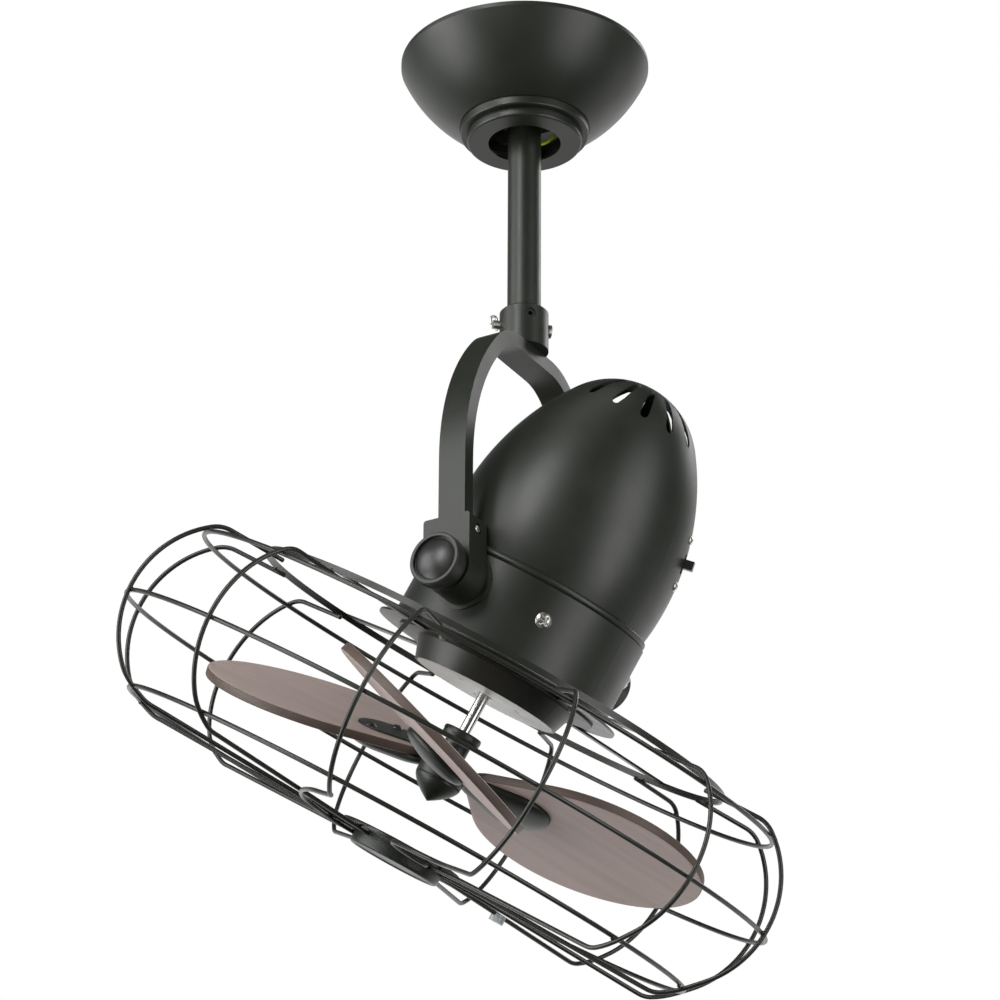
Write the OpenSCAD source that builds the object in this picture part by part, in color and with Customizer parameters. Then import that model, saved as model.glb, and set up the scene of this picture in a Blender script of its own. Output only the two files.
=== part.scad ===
// Ceiling fan with one caged, tilting head: a dished canopy, a ball-hung downrod,
// a bent tube yoke, a bullet-shaped motor head with clamp knobs, three wooden
// blades and a round wire cage. Origin: centre of the ceiling face, +Z up, mm.

/* [Canopy] */
// Radius of the canopy's rim against the ceiling
canopy_r = 82.5; // [78:0.5:110]
// Height of the straight rim
canopy_rim_h = 3; // [2:0.5:6]
// Depth of the dished wall, ceiling to neck
canopy_h = 48; // [46:0.5:70]
// Radius of the dished wall at its neck
canopy_neck_r = 43.5; // [42.5:0.5:50]
// Radius of the arc that dishes the wall
canopy_arc_r = 103; // [80:1:160]
// Wall of the spun steel canopy
canopy_t = 1.5; // [1:0.1:2.5]
// Radius of the canopy's hole round the downrod
canopy_hole_r = 26; // [25:0.5:27]

/* [Canopy trim ring] */
// Height of the ring's wide flange
trim_flange_h = 6; // [5:0.5:9]
// Height of the ring's narrow cup below the flange
trim_cup_h = 6; // [4:0.5:9]
// Outer radius of the narrow cup
trim_cup_r = 38; // [37:0.5:41]
// Radius of the hole that the downrod hangs through
trim_hole_r = 24; // [22:0.5:25]
// Wall of the trim ring
trim_t = 1.5; // [1:0.1:2]

/* [Hanger bracket] */
// Length of the plate that is screwed to the ceiling
bracket_l = 124; // [116:1:140]
// Width of the bracket strap
bracket_w = 44; // [42:1:48]
// Thickness of the bracket strap
bracket_t = 2.5; // [2:0.1:3]
// Distance between the bracket's two ceiling screw holes
screw_spacing = 104; // [98:1:110]
// Diameter of the ceiling screw holes
screw_hole_d = 5.5; // [4:0.1:6.5]
// Distance between the outer faces of the bracket's legs
stirrup_w = 77; // [74:1:80]
// Depth from the ceiling to the underside of the seat plate
seat_drop = 41; // [40:0.5:42]

/* [Hanger ball and downrod] */
// Depth of the ball's centre below the ceiling
ball_drop = 26; // [25.5:0.1:26.5]
// Radius of the hanger ball
ball_r = 22; // [21.5:0.1:22.5]
// Running gap between ball and seat
ball_gap = 0.3; // [0.2:0.05:0.5]
// Outer diameter of the downrod tube
rod_d = 22; // [20:0.5:24]
// Wall of the downrod tube
rod_t = 1.5; // [1.2:0.1:2]
// Depth of the coupling's top below the ceiling
coupling_drop = 187.7; // [150:1:600]
// Diameter of the coupling
coupling_d = 32; // [30:0.5:36]
// Height of the coupling
coupling_h = 28.5; // [26:0.5:36]

/* [Yoke] */
// Height of the yoke's crown above the tilt axis
yoke_rise = 195; // [190:1:230]
// Space between the lower housing and each arm of the yoke
yoke_clear = 6; // [4:0.5:9]
// Width of the yoke's rectangular tube
yoke_w = 19; // [16:0.5:24]
// Thickness of the yoke's rectangular tube
yoke_t = 10; // [9:0.5:10.5]
// Wall of the rectangular tube
yoke_wall = 1.5; // [1.2:0.1:2]
// Half length of the flat crown
yoke_flat = 19.6; // [17:0.5:22]
// Outer bend radius of the yoke's shoulders
yoke_shoulder_r = 42; // [38:0.5:46]
// Outer bend radius of the yoke's sides
yoke_side_r = 148; // [130:1:160]

/* [Tilt clamps] */
// Width of the clamp blocks, and of their round lower ends
block_w = 33; // [31:0.5:38]
// Height of the clamp blocks above the tilt axis
block_top = 35; // [33:0.5:40]
// Thickness of the clamp blocks outside the head
block_t = 21.5; // [20:0.5:25]
// Depth of the socket that takes the yoke's foot
socket_h = 21; // [16:0.5:22]
// Diameter of the tilt studs
stud_d = 8; // [6:0.5:9]
// Diameter of the clamp knobs
knob_d = 35; // [33:0.5:40]
// Thickness of the clamp knobs at their rim
knob_h = 14.5; // [13:0.5:18]
// Rise of the dome in the knob's face
knob_dome_h = 4; // [2:0.5:6]

/* [Head] */
// Tilt of the head from upright, as it rests
head_tilt = 33; // [0:1:60]
// Greatest radius of the bullet shell
bullet_r = 74.5; // [72:0.5:77]
// Height of the shell's greatest radius above the tilt axis
bullet_belly = 52; // [45:1:60]
// Height of the shell's tip above the tilt axis
bullet_tip = 171.5; // [165:0.5:176]
// Radius of the arc that runs from belly to nose
bullet_arc_r = 167; // [155:1:190]
// Wall of the bullet shell
bullet_t = 1.3; // [1:0.1:2]
// Height of the seam between shell and housing above the tilt axis
seam_z = 20.4; // [19.8:0.2:28]
// How far the lower housing stands out past the shell
seam_step = 0.5; // [0.3:0.1:1]
// Depth of the lower housing below the tilt axis
housing_drop = 34; // [32:0.5:38]
// Wall of the lower housing
housing_t = 1.5; // [1.2:0.1:2]
// Number of cooling slots round the nose
vent_n = 14; // [8:1:16]
// Distance from the axis to the slots' inner ends
vent_r1 = 20; // [17:0.5:24]
// Distance from the axis to the slots' outer ends
vent_r2 = 45.5; // [40:0.5:50]
// Width of the slots at their outer ends
vent_w = 6; // [4:0.5:7]

/* [Drum and motor] */
// Step from the housing in to the drum
drum_step = 20; // [17:0.5:22]
// How much the drum narrows to its lower edge
drum_taper = 5; // [3:0.5:8]
// Depth of the drum's lower edge below the tilt axis
drum_drop = 51; // [48:0.5:57]
// Radius of the stator's laminated ring
stator_r = 50; // [47:0.5:51]
// Bore radius of the stator
stator_bore_r = 30; // [26:0.5:32]
// Height of the stator's stack
stator_h = 32; // [26:1:33]
// Diameter of the motor shaft
shaft_d = 7.5; // [6:0.5:9]

/* [Slide switch] */
// Height of the switch above the tilt axis
switch_z = 81; // [72:1:95]
// Direction of the switch round the head
switch_angle = 26; // [0:1:40]
// Distance between the switch's two screws
switch_pitch = 31; // [26:1:34]
// Travel of the slider to each side
switch_travel = 3; // [2:0.5:3.5]

/* [Blades] */
// Number of blades
blade_n = 3;
// Radius swept by the blade tips
blade_tip_r = 190; // [170:1:192]
// Greatest width of a blade
blade_w = 156; // [120:1:160]
// Radius of the blade's rounded root
blade_root_r = 24; // [18:0.5:26]
// Distance from the axis to the blade's root edge
blade_start = 19; // [18.5:0.5:24]
// Thickness of a blade
blade_t = 6; // [4:0.5:8]
// Pitch of the blades
blade_pitch = 18; // [10:0.5:20]
// Direction of the first blade round the head
blade_angle = 299.5; // [0:0.5:360]
// Depth of the blades' middle plane below the tilt axis
blade_drop = 100; // [98:0.5:103]
// Half width of a blade iron
iron_half_w = 26; // [22:0.5:28]
// Distance from the axis to a blade iron's rounded end
iron_end_r = 79; // [70:0.5:90]
// Height of a blade iron's dome
iron_h = 8; // [6:0.5:9]

/* [Cage] */
// Diameter of the cage's wires
wire_d = 3; // [2.5:0.1:4]
// Number of ribs
rib_n = 12;
// Direction of the first rib round the head
rib_angle = 21; // [0:0.5:360]
// Radius of the flat band that the ribs hang from
band_r = 163; // [155:0.5:168]
// Height of the flat band
band_h = 4; // [3:0.5:8]
// Bulge of the ribs outside the band's radius
rib_bulge = 68.3; // [60:0.5:74]
// Depth of the ribs' upper ends below the tilt axis
rib_top = 41; // [40:0.2:44]
// Depth of the ribs' lower runs below the tilt axis
rib_bottom = 163.5; // [158:0.5:168]
// Bend radius at the ribs' shoulders
rib_bend_r = 20; // [14:0.5:26]
// Radius of the bare disc at the cage's centre
disc_r = 31; // [26:0.5:36]
// Thickness of the bare disc
disc_t = 12; // [8:0.5:14]
// How far the plate that holds the cage stands out past the housing
plate_lip = 9; // [5:0.5:13]

/* [Hidden] */
$fn = 96;

// Clearances
fit = 0.05;          // a shaft, stud or screw in its hole
seat_gap = 0.1;      // a spigot or a tube in its socket
air_gap = 0.3;       // pieces that move past each other
weld = 0.2;          // how far welded wires sink into each other
far = 400;           // reach of a cutting tool

// Canopy: centre of the arc through the rim's and the neck's corners
canopy_mid = [(canopy_r + canopy_neck_r) / 2, -(canopy_rim_h + canopy_h) / 2];
canopy_chord = [canopy_neck_r - canopy_r, canopy_rim_h - canopy_h];
canopy_reach = sqrt(pow(canopy_arc_r, 2) - pow(norm(canopy_chord) / 2, 2));
canopy_c = canopy_mid + [canopy_chord.y, -canopy_chord.x] * canopy_reach / norm(canopy_chord);
collar_r = trim_cup_r - trim_t - seat_gap;
collar_h = trim_flange_h + 1;
trim_flange_r = canopy_neck_r - 1;

// Hanger bracket
stirrup_x = stirrup_w / 2;
post_x = (collar_r - canopy_t + canopy_hole_r) / 2;
post_r = 3.6;
canopy_screw_r = 1.6;
slot_half_w = rod_d / 2 + 1.2;
block_l = 30;
terminal_size = [14, 30, 8];
earth_r = 10;
earth_y = 19;
earth_d = 2.4;

// Ball: flats above and below its centre
ball_top = 10;
ball_bottom = 17;
rod_above_ball = 12;
ball_pin_r = 2.5;
cross_angle = 45;    // direction of the cross pins, seen from above

// Coupling
socket_floor = 4;
clevis_r = 3;
clevis_drop = 11.3;
set_screw_drop = 7.5;
cable_r = 1.6;
cable_off = 6;

// Yoke
pivot_drop = coupling_drop + coupling_h + yoke_rise;
housing_r = bullet_r + seam_step;
yoke_half_w = housing_r + yoke_clear + yoke_t;
yoke_turn = asin((yoke_side_r + yoke_flat - yoke_half_w) / (yoke_side_r - yoke_shoulder_r));
yoke_bend_gap = yoke_side_r - yoke_shoulder_r;
yoke_leg_y = yoke_flat - yoke_bend_gap * sin(yoke_turn);
yoke_leg_z = yoke_rise - yoke_shoulder_r - yoke_bend_gap * cos(yoke_turn);
yoke_foot = block_top - socket_h;

// Tilt clamps, measured out from the head's axis
block_back = housing_r + 0.6;
block_front = block_back + block_t;
stud_r = stud_d / 2;
boss_r = 10.5;
boss_face = housing_r + 0.7;
pad_r = 19.5;          // round pad on the housing behind each clamp block
washer_t = 1.7;
washer_face = boss_face + washer_t;
stud_head_y = housing_r - 11.5;
stud_end = block_front + air_gap + knob_h - 4;
knob_step = 6;
knob_rim = 2.8;
block_screw_z = block_top - 8;
block_screw_r = 1.6;

// Bullet shell: the nose is the sphere on the axis that the arc runs into
bullet_c = [bullet_r - bullet_arc_r, bullet_belly];
tip_rise = bullet_tip - bullet_belly;
nose_r = (pow(bullet_arc_r, 2) - pow(bullet_c.x, 2) - pow(tip_rise, 2)) / (2 * (bullet_arc_r - tip_rise));
nose_z = bullet_tip - nose_r;
nose_angle = atan2(nose_z - bullet_belly, -bullet_c.x);
bead_r = 3;
vent_angle = 311.5;   // direction of one cooling slot
spigot_h = 5;

// Drum, motor frame and bearings
sheet_t = 1.5;
frame_t = 2;
frame_r = stator_r + seat_gap + frame_t;
frame_top = 17;
frame_flange_r = housing_r - 5.5;
drum_r1 = housing_r - drum_step;
drum_r2 = drum_r1 - drum_taper;
housing_hole_r = drum_r1 - 8;
housing_floor = 2.5;
drum_screw_pitch_r = housing_r - 9.5;
drum_screw_r = 1.6;
drum_flange_r = housing_r - 6;
plate_r = housing_r + plate_lip;
drum_top = housing_drop + sheet_t;
stator_z = 8;
coil_h = 4.5;
bearing_r = 11;
bearing_h = 7;
bearing_wall = 2.5;
shaft_hole_r = shaft_d / 2 + 1.2;
shaft_top = frame_top - 1;
shaft_end = blade_drop + 4;
plate_in_drum_r = drum_r2 - sheet_t - seat_gap;
lug_w = 10;
housing_screw_r = 2.2;
housing_screw_head_r = 5.35;
housing_screw_angle = 45;

// Slide switch: its frame stands on the shell, X outwards
switch_lean = asin((switch_z - bullet_belly) / bullet_arc_r);
switch_r = bullet_c.x + bullet_arc_r * cos(switch_lean);
switch_w = 14;
switch_back = 11;
switch_front = bullet_t + 1.7;
switch_screw_r = 1.6;
switch_screw_l = 7;
slider_w = 5;
slider_l = 6;
slider_out = 6.5;
slider_foot = 3;

// Rotor
shaft_r = shaft_d / 2;
rotor_gap = 0.5;
hub_top = 76.5;
hub_screw_r = 1.5;
hub_screw_angle = 60;
hub_screw_drop = 3.5;
hub_r = 12.3;
hub_waist_r = 11.5;
hub_disc_r = 17;
hub_disc_top = blade_drop - 4;
hub_bottom = blade_drop + blade_t / 2 + iron_h + 1;
hub_core_r = 12;
blade_tip_centre = blade_tip_r - blade_w / 2;
blade_root_centre = blade_start + blade_root_r;
iron_flare_x = 42;   // where the iron reaches its full width
iron_dome_r = (pow(iron_half_w, 2) + pow(iron_h, 2)) / (2 * iron_h);
iron_root_w = 3;      // half width that its sides run in to on the axis
spinner_r = 11.5;
spinner_h = 12;
blade_screw_at = [[34, 0], [58, 13], [58, -13]];
blade_screw_r = 2;
blade_screw_head_r = 4;

// Cage: every rib bends from its upper run over the bulge to its lower run
rib_mid = (rib_top + rib_bottom) / 2 - 3;
rib_fillet_reach = rib_bulge - rib_bend_r;
top_rise = rib_mid - rib_top - rib_bend_r;
bottom_fall = rib_bottom - rib_bend_r - rib_mid;
top_x = band_r + sqrt(pow(rib_fillet_reach, 2) - pow(top_rise, 2));
bottom_x = band_r + sqrt(pow(rib_fillet_reach, 2) - pow(bottom_fall, 2));
top_turn = atan2(top_rise, top_x - band_r);
bottom_turn = -atan2(bottom_fall, bottom_x - band_r);
wire_r = wire_d / 2;
ring_inset = wire_d - weld;
ring_turns = [top_turn - 0.5, -3.7, bottom_turn + 8.8];
ring_bulge = rib_bulge - ring_inset;
band_t = 1.6;
rib_tail = 8;
spoke_w = 8;
spoke_n = 4;
spoke_angle = 76;
collar_ring_r = disc_r + 9;

// ---- frames and shared shapes ----

// Places children with the tilt axis at the origin, level with the yoke
module at_pivot() translate([0, 0, -pivot_drop]) children();

// Places children in the tilted head: Z up its axis, the near knob towards -Y
module in_head() at_pivot() rotate([0, head_tilt, 0]) children();

// Repeats children n times round the Z axis, from a first direction
module around(n, first) for (i = [0 : n - 1]) rotate([0, 0, first + i * 360 / n]) children();

// Turns a profile of [radius, height] round the Z axis
module lathe() rotate_extrude() children();

// Turns a profile of [radius, distance from the head's axis] round the tilt axis
module lathe_out(far_side) mirror([0, far_side ? 1 : 0, 0]) rotate([90, 0, 0]) rotate_extrude() children();

// A rectangle from one corner to the other
module box2(p, q) translate(p) square(q - p);

// A ring of round wire, lying level
module wire_ring(r, d) rotate_extrude() translate([r, 0]) circle(d = d);

// An arc of round wire in the XZ plane, from angle a to angle b
module wire_arc(r, a, b, d) rotate([90, 0, 0]) rotate([0, 0, a]) rotate_extrude(angle = b - a)
    translate([r, 0]) circle(d = d);

// A low round-headed screw: head up from the origin, shank down
module round_screw(shank_r, shank_l, head_r, head_h) {
    translate([0, 0, -shank_l]) cylinder(r = shank_r, h = shank_l);
    intersection() {
        cylinder(r = head_r, h = head_h);
        dome_r = (pow(head_r, 2) + pow(head_h, 2)) / (2 * head_h) + head_h / 3;
        translate([0, 0, head_h - dome_r]) sphere(r = dome_r);
    }
}

// ---- ceiling ----

module ceiling_bracket() color("gainsboro") difference() {
    union() {
        translate([-bracket_l / 2, -bracket_w / 2, -bracket_t]) cube([bracket_l, bracket_w, bracket_t]);
        for (x = [-stirrup_x, stirrup_x - bracket_t])
            translate([x, -bracket_w / 2, -seat_drop]) cube([bracket_t, bracket_w, seat_drop - bracket_t]);
        translate([-stirrup_x, -bracket_w / 2, -seat_drop]) cube([stirrup_w, bracket_w, bracket_t + 0.5]);
        for (x = [-post_x, post_x]) translate([x, 0, canopy_t - canopy_h])
            cylinder(r = post_r, h = canopy_h - canopy_t - seat_drop);
    }
    translate([0, 0, -ball_drop]) sphere(r = ball_r + ball_gap);
    translate([-slot_half_w, -bracket_w, -seat_drop - 1]) cube([2 * slot_half_w, bracket_w, bracket_t + 3]);
    for (x = [-screw_spacing / 2, screw_spacing / 2]) translate([x, 0, -bracket_t - 1])
        cylinder(d = screw_hole_d, h = bracket_t + 2);
    for (x = [-post_x, post_x]) translate([x, 0, -canopy_h])
        cylinder(r = canopy_screw_r + fit, h = canopy_h - seat_drop + 2);
}

module terminal_block() color("ivory") difference() {
    translate([stirrup_x - bracket_t - terminal_size.x - 2, -terminal_size.y / 2, -bracket_t - terminal_size.z])
        cube(terminal_size);
    for (i = [-1 : 1]) translate([0, i * terminal_size.y / 3, -bracket_t - terminal_size.z / 2])
        rotate([0, 90, 0]) cylinder(r = cable_r, h = far);
}

module earth_wire() color("yellowgreen") translate([post_r, earth_y, -seat_drop])
    wire_arc(earth_r, 180, 360, earth_d);

module canopy_outline(inset, bottom) union() {
    intersection() {
        translate(canopy_c) circle(r = canopy_arc_r - inset);
        box2([0, -bottom], [canopy_r, -canopy_rim_h]);
    }
    box2([0, -canopy_rim_h], [canopy_r - inset, inset > 0 ? 1 : 0]);
}

module canopy() color("dimgray") difference() {
    lathe() difference() {
        union() {
            difference() {
                canopy_outline(0, canopy_h);
                canopy_outline(canopy_t, canopy_h - canopy_t);
            }
            box2([collar_r - canopy_t, -canopy_h - collar_h], [collar_r, -canopy_h + canopy_t]);
        }
        box2([-1, -far], [canopy_hole_r, 1]);
    }
    for (x = [-post_x, post_x]) translate([x, 0, -canopy_h - 1])
        cylinder(r = canopy_screw_r + fit, h = canopy_t + 2);
}

module canopy_screws() color("silver") for (x = [-post_x, post_x])
    translate([x, 0, -canopy_h]) rotate([180, 0, 0]) round_screw(canopy_screw_r, 8, 3, 2);

module canopy_trim_ring() color("dimgray") translate([0, 0, -canopy_h]) lathe() {
    flange_in = trim_flange_r - trim_t;
    cup_in = trim_cup_r - trim_t;
    bottom = -trim_flange_h - trim_cup_h;
    difference() {
        union() {
            box2([0, -trim_flange_h + 1], [trim_flange_r, 0]);
            box2([0, -trim_flange_h], [trim_flange_r - 1, 0]);
            translate([trim_flange_r - 1, -trim_flange_h + 1]) circle(r = 1);
            box2([0, bottom + 1.5], [trim_cup_r, 0]);
            box2([0, bottom], [trim_cup_r - 1.5, 0]);
            translate([trim_cup_r - 1.5, bottom + 1.5]) circle(r = 1.5);
        }
        box2([-1, -trim_flange_h + trim_t], [flange_in, 1]);
        box2([-1, bottom + trim_t], [cup_in, 1]);
        box2([-1, bottom - 1], [trim_hole_r, 1]);
    }
}

// ---- downrod and yoke ----

module along_pins() rotate([0, 0, cross_angle]) children();

module hanger_ball() color("#2b2b2b") translate([0, 0, -ball_drop]) difference() {
    intersection() {
        sphere(r = ball_r);
        translate([0, 0, -ball_bottom]) cylinder(r = ball_r, h = ball_bottom + ball_top);
    }
    translate([0, 0, -far / 2]) cylinder(r = rod_d / 2 + fit, h = far);
    along_pins() translate([-far / 2, -ball_pin_r, ball_top - 2 * ball_pin_r]) cube([far, 2 * ball_pin_r, far]);
}

module ball_pin() color("silver") translate([0, 0, -ball_drop + ball_top - ball_pin_r]) along_pins()
    rotate([0, 90, 0]) translate([0, 0, -ball_r + 3.5]) cylinder(r = ball_pin_r, h = 2 * ball_r - 7);

module downrod() color("#353535") difference() {
    rod_top = -ball_drop + rod_above_ball;
    rod_bottom = -coupling_drop - coupling_h + socket_floor;
    translate([0, 0, rod_bottom]) difference() {
        cylinder(d = rod_d, h = rod_top - rod_bottom);
        translate([0, 0, -1]) cylinder(r = rod_d / 2 - rod_t, h = far);
    }
    translate([0, 0, -ball_drop + ball_top - ball_pin_r]) along_pins()
        rotate([0, 90, 0]) translate([0, 0, -far / 2]) cylinder(r = ball_pin_r + fit, h = far);
    translate([0, 0, -coupling_drop - clevis_drop]) along_pins()
        rotate([0, 90, 0]) translate([0, 0, -far / 2]) cylinder(r = clevis_r + fit, h = far);
}

module supply_cable() color("#1d1d1d") along_pins() translate([0, -cable_off, -coupling_drop - coupling_h - yoke_wall])
    cylinder(r = cable_r, h = coupling_drop + coupling_h + yoke_wall - ball_drop + ball_top);

module coupling() color("#303030") translate([0, 0, -coupling_drop - coupling_h]) difference() {
    lathe() polygon([
        [0, 0], [coupling_d / 2, 0], [coupling_d / 2, coupling_h - 1],
        [coupling_d / 2 - 1, coupling_h], [0, coupling_h]
    ]);
    translate([0, 0, socket_floor]) cylinder(r = rod_d / 2 + fit, h = far);
    along_pins() translate([0, -cable_off, -1]) cylinder(r = cable_r + 0.5, h = far);
    translate([0, 0, coupling_h - clevis_drop]) along_pins()
        rotate([0, 90, 0]) translate([0, 0, -far / 2]) cylinder(r = clevis_r + fit, h = far);
    translate([0, 0, coupling_h - set_screw_drop]) along_pins() rotate([90, 0, 0]) cylinder(r = 3.5 + fit, h = far);
}

module clevis_pin() color("silver") translate([0, 0, -coupling_drop - clevis_drop]) along_pins() difference() {
    union() {
        rotate([0, 90, 0]) translate([0, 0, -coupling_d / 2 - 5]) cylinder(r = clevis_r, h = coupling_d + 5);
        rotate([0, 90, 0]) translate([0, 0, coupling_d / 2]) cylinder(r = clevis_r + 1.5, h = 2);
    }
    translate([-coupling_d / 2 - 2.5, 0, -far / 2]) cylinder(r = 0.8 + fit, h = far);
}

// Hairpin clip: its straight leg passes through the clevis pin
module r_clip() color("silver") translate([0, 0, -coupling_drop - clevis_drop]) along_pins()
    translate([-coupling_d / 2 - 2.5, 0, 0]) {
        clip_r = 0.8;
        leg = clevis_r + 1.2;
        bend_r = 1.9;
        translate([0, 0, -leg]) cylinder(r = clip_r, h = 2 * leg);
        translate([-bend_r, 0, leg]) wire_arc(bend_r, 0, 180, 2 * clip_r);
        translate([-2 * bend_r, 0, 0]) cylinder(r = clip_r, h = leg);
    }

module set_screw() color("#202020") translate([0, 0, -coupling_drop - set_screw_drop]) along_pins() rotate([90, 0, 0])
    translate([0, 0, rod_d / 2]) difference() {
        cylinder(r = 3.5, h = coupling_d / 2 - rod_d / 2 - 1);
        translate([0, 0, 1.5]) cylinder(r = 1.7, h = far, $fn = 6);
    }

// Everything under the yoke's outline, seen along X, drawn inwards by an inset
module yoke_outline(inset, foot) for (side = [0, 1]) mirror([side, 0]) {
    join_z = yoke_rise - yoke_shoulder_r + (yoke_shoulder_r - inset) * cos(yoke_turn);
    box2([0, foot], [yoke_half_w - inset, yoke_leg_z]);
    box2([0, foot], [yoke_flat, yoke_rise - inset]);
    intersection() {
        translate([yoke_leg_y, yoke_leg_z]) circle(r = yoke_side_r - inset);
        box2([0, foot], [yoke_half_w, join_z]);
    }
    intersection() {
        translate([yoke_flat, yoke_rise - yoke_shoulder_r]) circle(r = yoke_shoulder_r - inset);
        box2([0, join_z - 1], [yoke_half_w, yoke_rise]);
    }
}

// The yoke's bar, or with an inset the space inside its walls
module yoke_bar(inset, foot) translate([-yoke_w / 2 + inset, 0, 0]) rotate([90, 0, 90])
    linear_extrude(yoke_w - 2 * inset) difference() {
        yoke_outline(inset, foot);
        yoke_outline(yoke_t - inset, foot - 1);
    }

module yoke() color("#333436") at_pivot() difference() {
    yoke_bar(0, yoke_foot);
    yoke_bar(yoke_wall, yoke_foot - 1);
    along_pins() translate([0, -cable_off, yoke_rise - yoke_wall - 1]) cylinder(r = cable_r + 0.5, h = far);
    for (side = [-1, 1]) translate([0, side * yoke_arm_y(), block_screw_z])
        rotate([0, 90, 0]) cylinder(r = block_screw_r + fit, h = far);
}

// Distance of the arm's middle from the head's axis
function yoke_arm_y() = yoke_half_w - yoke_t / 2;

// Two insulated wires down the far arm, pressed against the tube's inner walls
module yoke_wires() color("#1d1d1d") at_pivot() for (x = [-3, 3]) {
    bend_r = yoke_side_r - yoke_wall - cable_r;
    translate([x, yoke_leg_y, yoke_leg_z]) rotate([90, 0, 90]) {
        rotate_extrude(angle = 90 - yoke_turn) translate([bend_r, 0]) circle(r = cable_r);
        translate([bend_r, 0, 0]) rotate([90, 0, 0]) cylinder(r = cable_r, h = yoke_leg_z - yoke_foot);
    }
}

module clamp_block(far_side) mirror([0, far_side ? 1 : 0, 0]) difference() {
    translate([0, -block_back, 0]) rotate([90, 0, 0]) linear_extrude(block_t) union() {
        circle(d = block_w);
        box2([-block_w / 2, 0], [block_w / 2, block_top - 2]);
        box2([2 - block_w / 2, 0], [block_w / 2 - 2, block_top]);
        for (x = [2 - block_w / 2, block_w / 2 - 2]) translate([x, block_top - 2]) circle(r = 2);
    }
    translate([-yoke_w / 2 - seat_gap, -yoke_half_w - seat_gap, yoke_foot])
        cube([yoke_w + 2 * seat_gap, yoke_t + 2 * seat_gap, far]);
    rotate([90, 0, 0]) cylinder(r = stud_r + fit, h = far);
    rotate([90, 0, 0]) cylinder(r = boss_r + 0.5, h = washer_face + air_gap);
    translate([0, -yoke_arm_y(), block_screw_z]) rotate([0, 90, 0]) {
        cylinder(r = block_screw_r + fit, h = far);
        translate([0, 0, block_w / 2 - 1.5]) cylinder(r = 3.6, h = far);
    }
}

module clamp_block_near() color("#3a3b3d") at_pivot() clamp_block(false);

module clamp_block_far() color("#3a3b3d") at_pivot() clamp_block(true);

module block_screws() color("silver") at_pivot() for (side = [-1, 1])
    translate([block_w / 2 - 1.5, side * yoke_arm_y(), block_screw_z]) rotate([0, 90, 0])
        round_screw(block_screw_r, block_w / 2 - yoke_w / 2 - 1.5 + yoke_wall, 3.3, block_screw_r);

// ---- clamp knobs ----

module clamp_knob(far_side) {
    base = block_front + air_gap;
    rim = base + knob_h;
    edge = knob_d / 2;
    dome_edge = edge - knob_rim - 0.8;
    lathe_out(far_side) difference() {
        union() {
            polygon([
                [0, base], [edge - 3, base], [edge - 2.5, base + 0.5], [edge - 2.5, base + knob_step],
                [edge - 0.8, base + knob_step], [edge, base + knob_step + 0.8], [edge, rim - 0.8],
                [edge - 0.8, rim], [edge - knob_rim + 0.3, rim], [edge - knob_rim, rim - 0.3],
                [edge - knob_rim, rim - 2], [0, rim - 2]
            ]);
            intersection() {
                dome_r = (pow(dome_edge, 2) + pow(knob_dome_h, 2)) / (2 * knob_dome_h);
                translate([0, rim - 2 + knob_dome_h - dome_r]) circle(r = dome_r);
                box2([0, rim - 3], [dome_edge, rim + knob_dome_h]);
            }
        }
        box2([-1, base - 1], [stud_r + fit, stud_end + air_gap]);
    }
}

module clamp_knob_near() color("#2a2b2c") at_pivot() clamp_knob(false);

module clamp_knob_far() color("#2a2b2c") at_pivot() clamp_knob(true);

// ---- head: shells ----

// Half outline of the bullet, drawn inwards by an inset and cut off at a height
module bullet_outline(inset, cut) {
    join_z = bullet_belly + (bullet_arc_r - inset) * sin(nose_angle);
    intersection() {
        translate(bullet_c) circle(r = bullet_arc_r - inset);
        box2([0, cut], [bullet_r, join_z]);
    }
    intersection() {
        translate([0, nose_z]) circle(r = nose_r - inset);
        box2([0, nose_z], [bullet_r, bullet_tip + 1]);
    }
}

// Slot in plan: narrow near the axis, wide outside, both ends round
module vent_slot() {
    r1 = vent_w / 3.4;
    r2 = vent_w / 2;
    translate([vent_r1 + r1, 0]) circle(r = r1);
    translate([vent_r2 - r2, 0]) circle(r = r2);
    polygon([[vent_r1 + r1, -r1], [vent_r2 - r2, -r2], [vent_r2 - r2, r2], [vent_r1 + r1, r1]]);
}

// Stands children on the shell at the switch: X outwards, Z up the shell
module on_switch() rotate([0, 0, switch_angle]) translate([switch_r, 0, switch_z])
    rotate([0, -switch_lean, 0]) children();

// Stands children on the shell at the switch's two screws: Z outwards
module at_switch_screws() on_switch() for (side = [-1, 1]) translate([-bullet_arc_r, 0, 0])
    rotate([0, -side * asin(switch_pitch / 2 / bullet_arc_r), 0]) translate([bullet_arc_r, 0, 0])
        rotate([0, 90, 0]) children();

module bullet_shell() color("#3a3a3a") in_head() difference() {
    lathe() {
        difference() {
            bullet_outline(0, seam_z);
            bullet_outline(bullet_t, seam_z - 1);
        }
        spigot_r = housing_r - housing_t - seat_gap;
        box2([spigot_r - 2, seam_z - spigot_h], [spigot_r, seam_z + bead_r]);
        translate([spigot_r + 1 - bead_r, seam_z + bead_r]) circle(r = bead_r);
    }
    around(vent_n, vent_angle) translate([0, 0, nose_z]) linear_extrude(far) vent_slot();
    on_switch() {
        slot_l = slider_l + 2 * switch_travel + 1;
        translate([-far / 16, -slider_w / 2 - 0.4, -slot_l / 2]) cube([far / 8, slider_w + 0.8, slot_l]);
    }
    at_switch_screws() translate([0, 0, -switch_screw_l])
        cylinder(r = switch_screw_r + fit, h = 2 * switch_screw_l);
}

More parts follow.
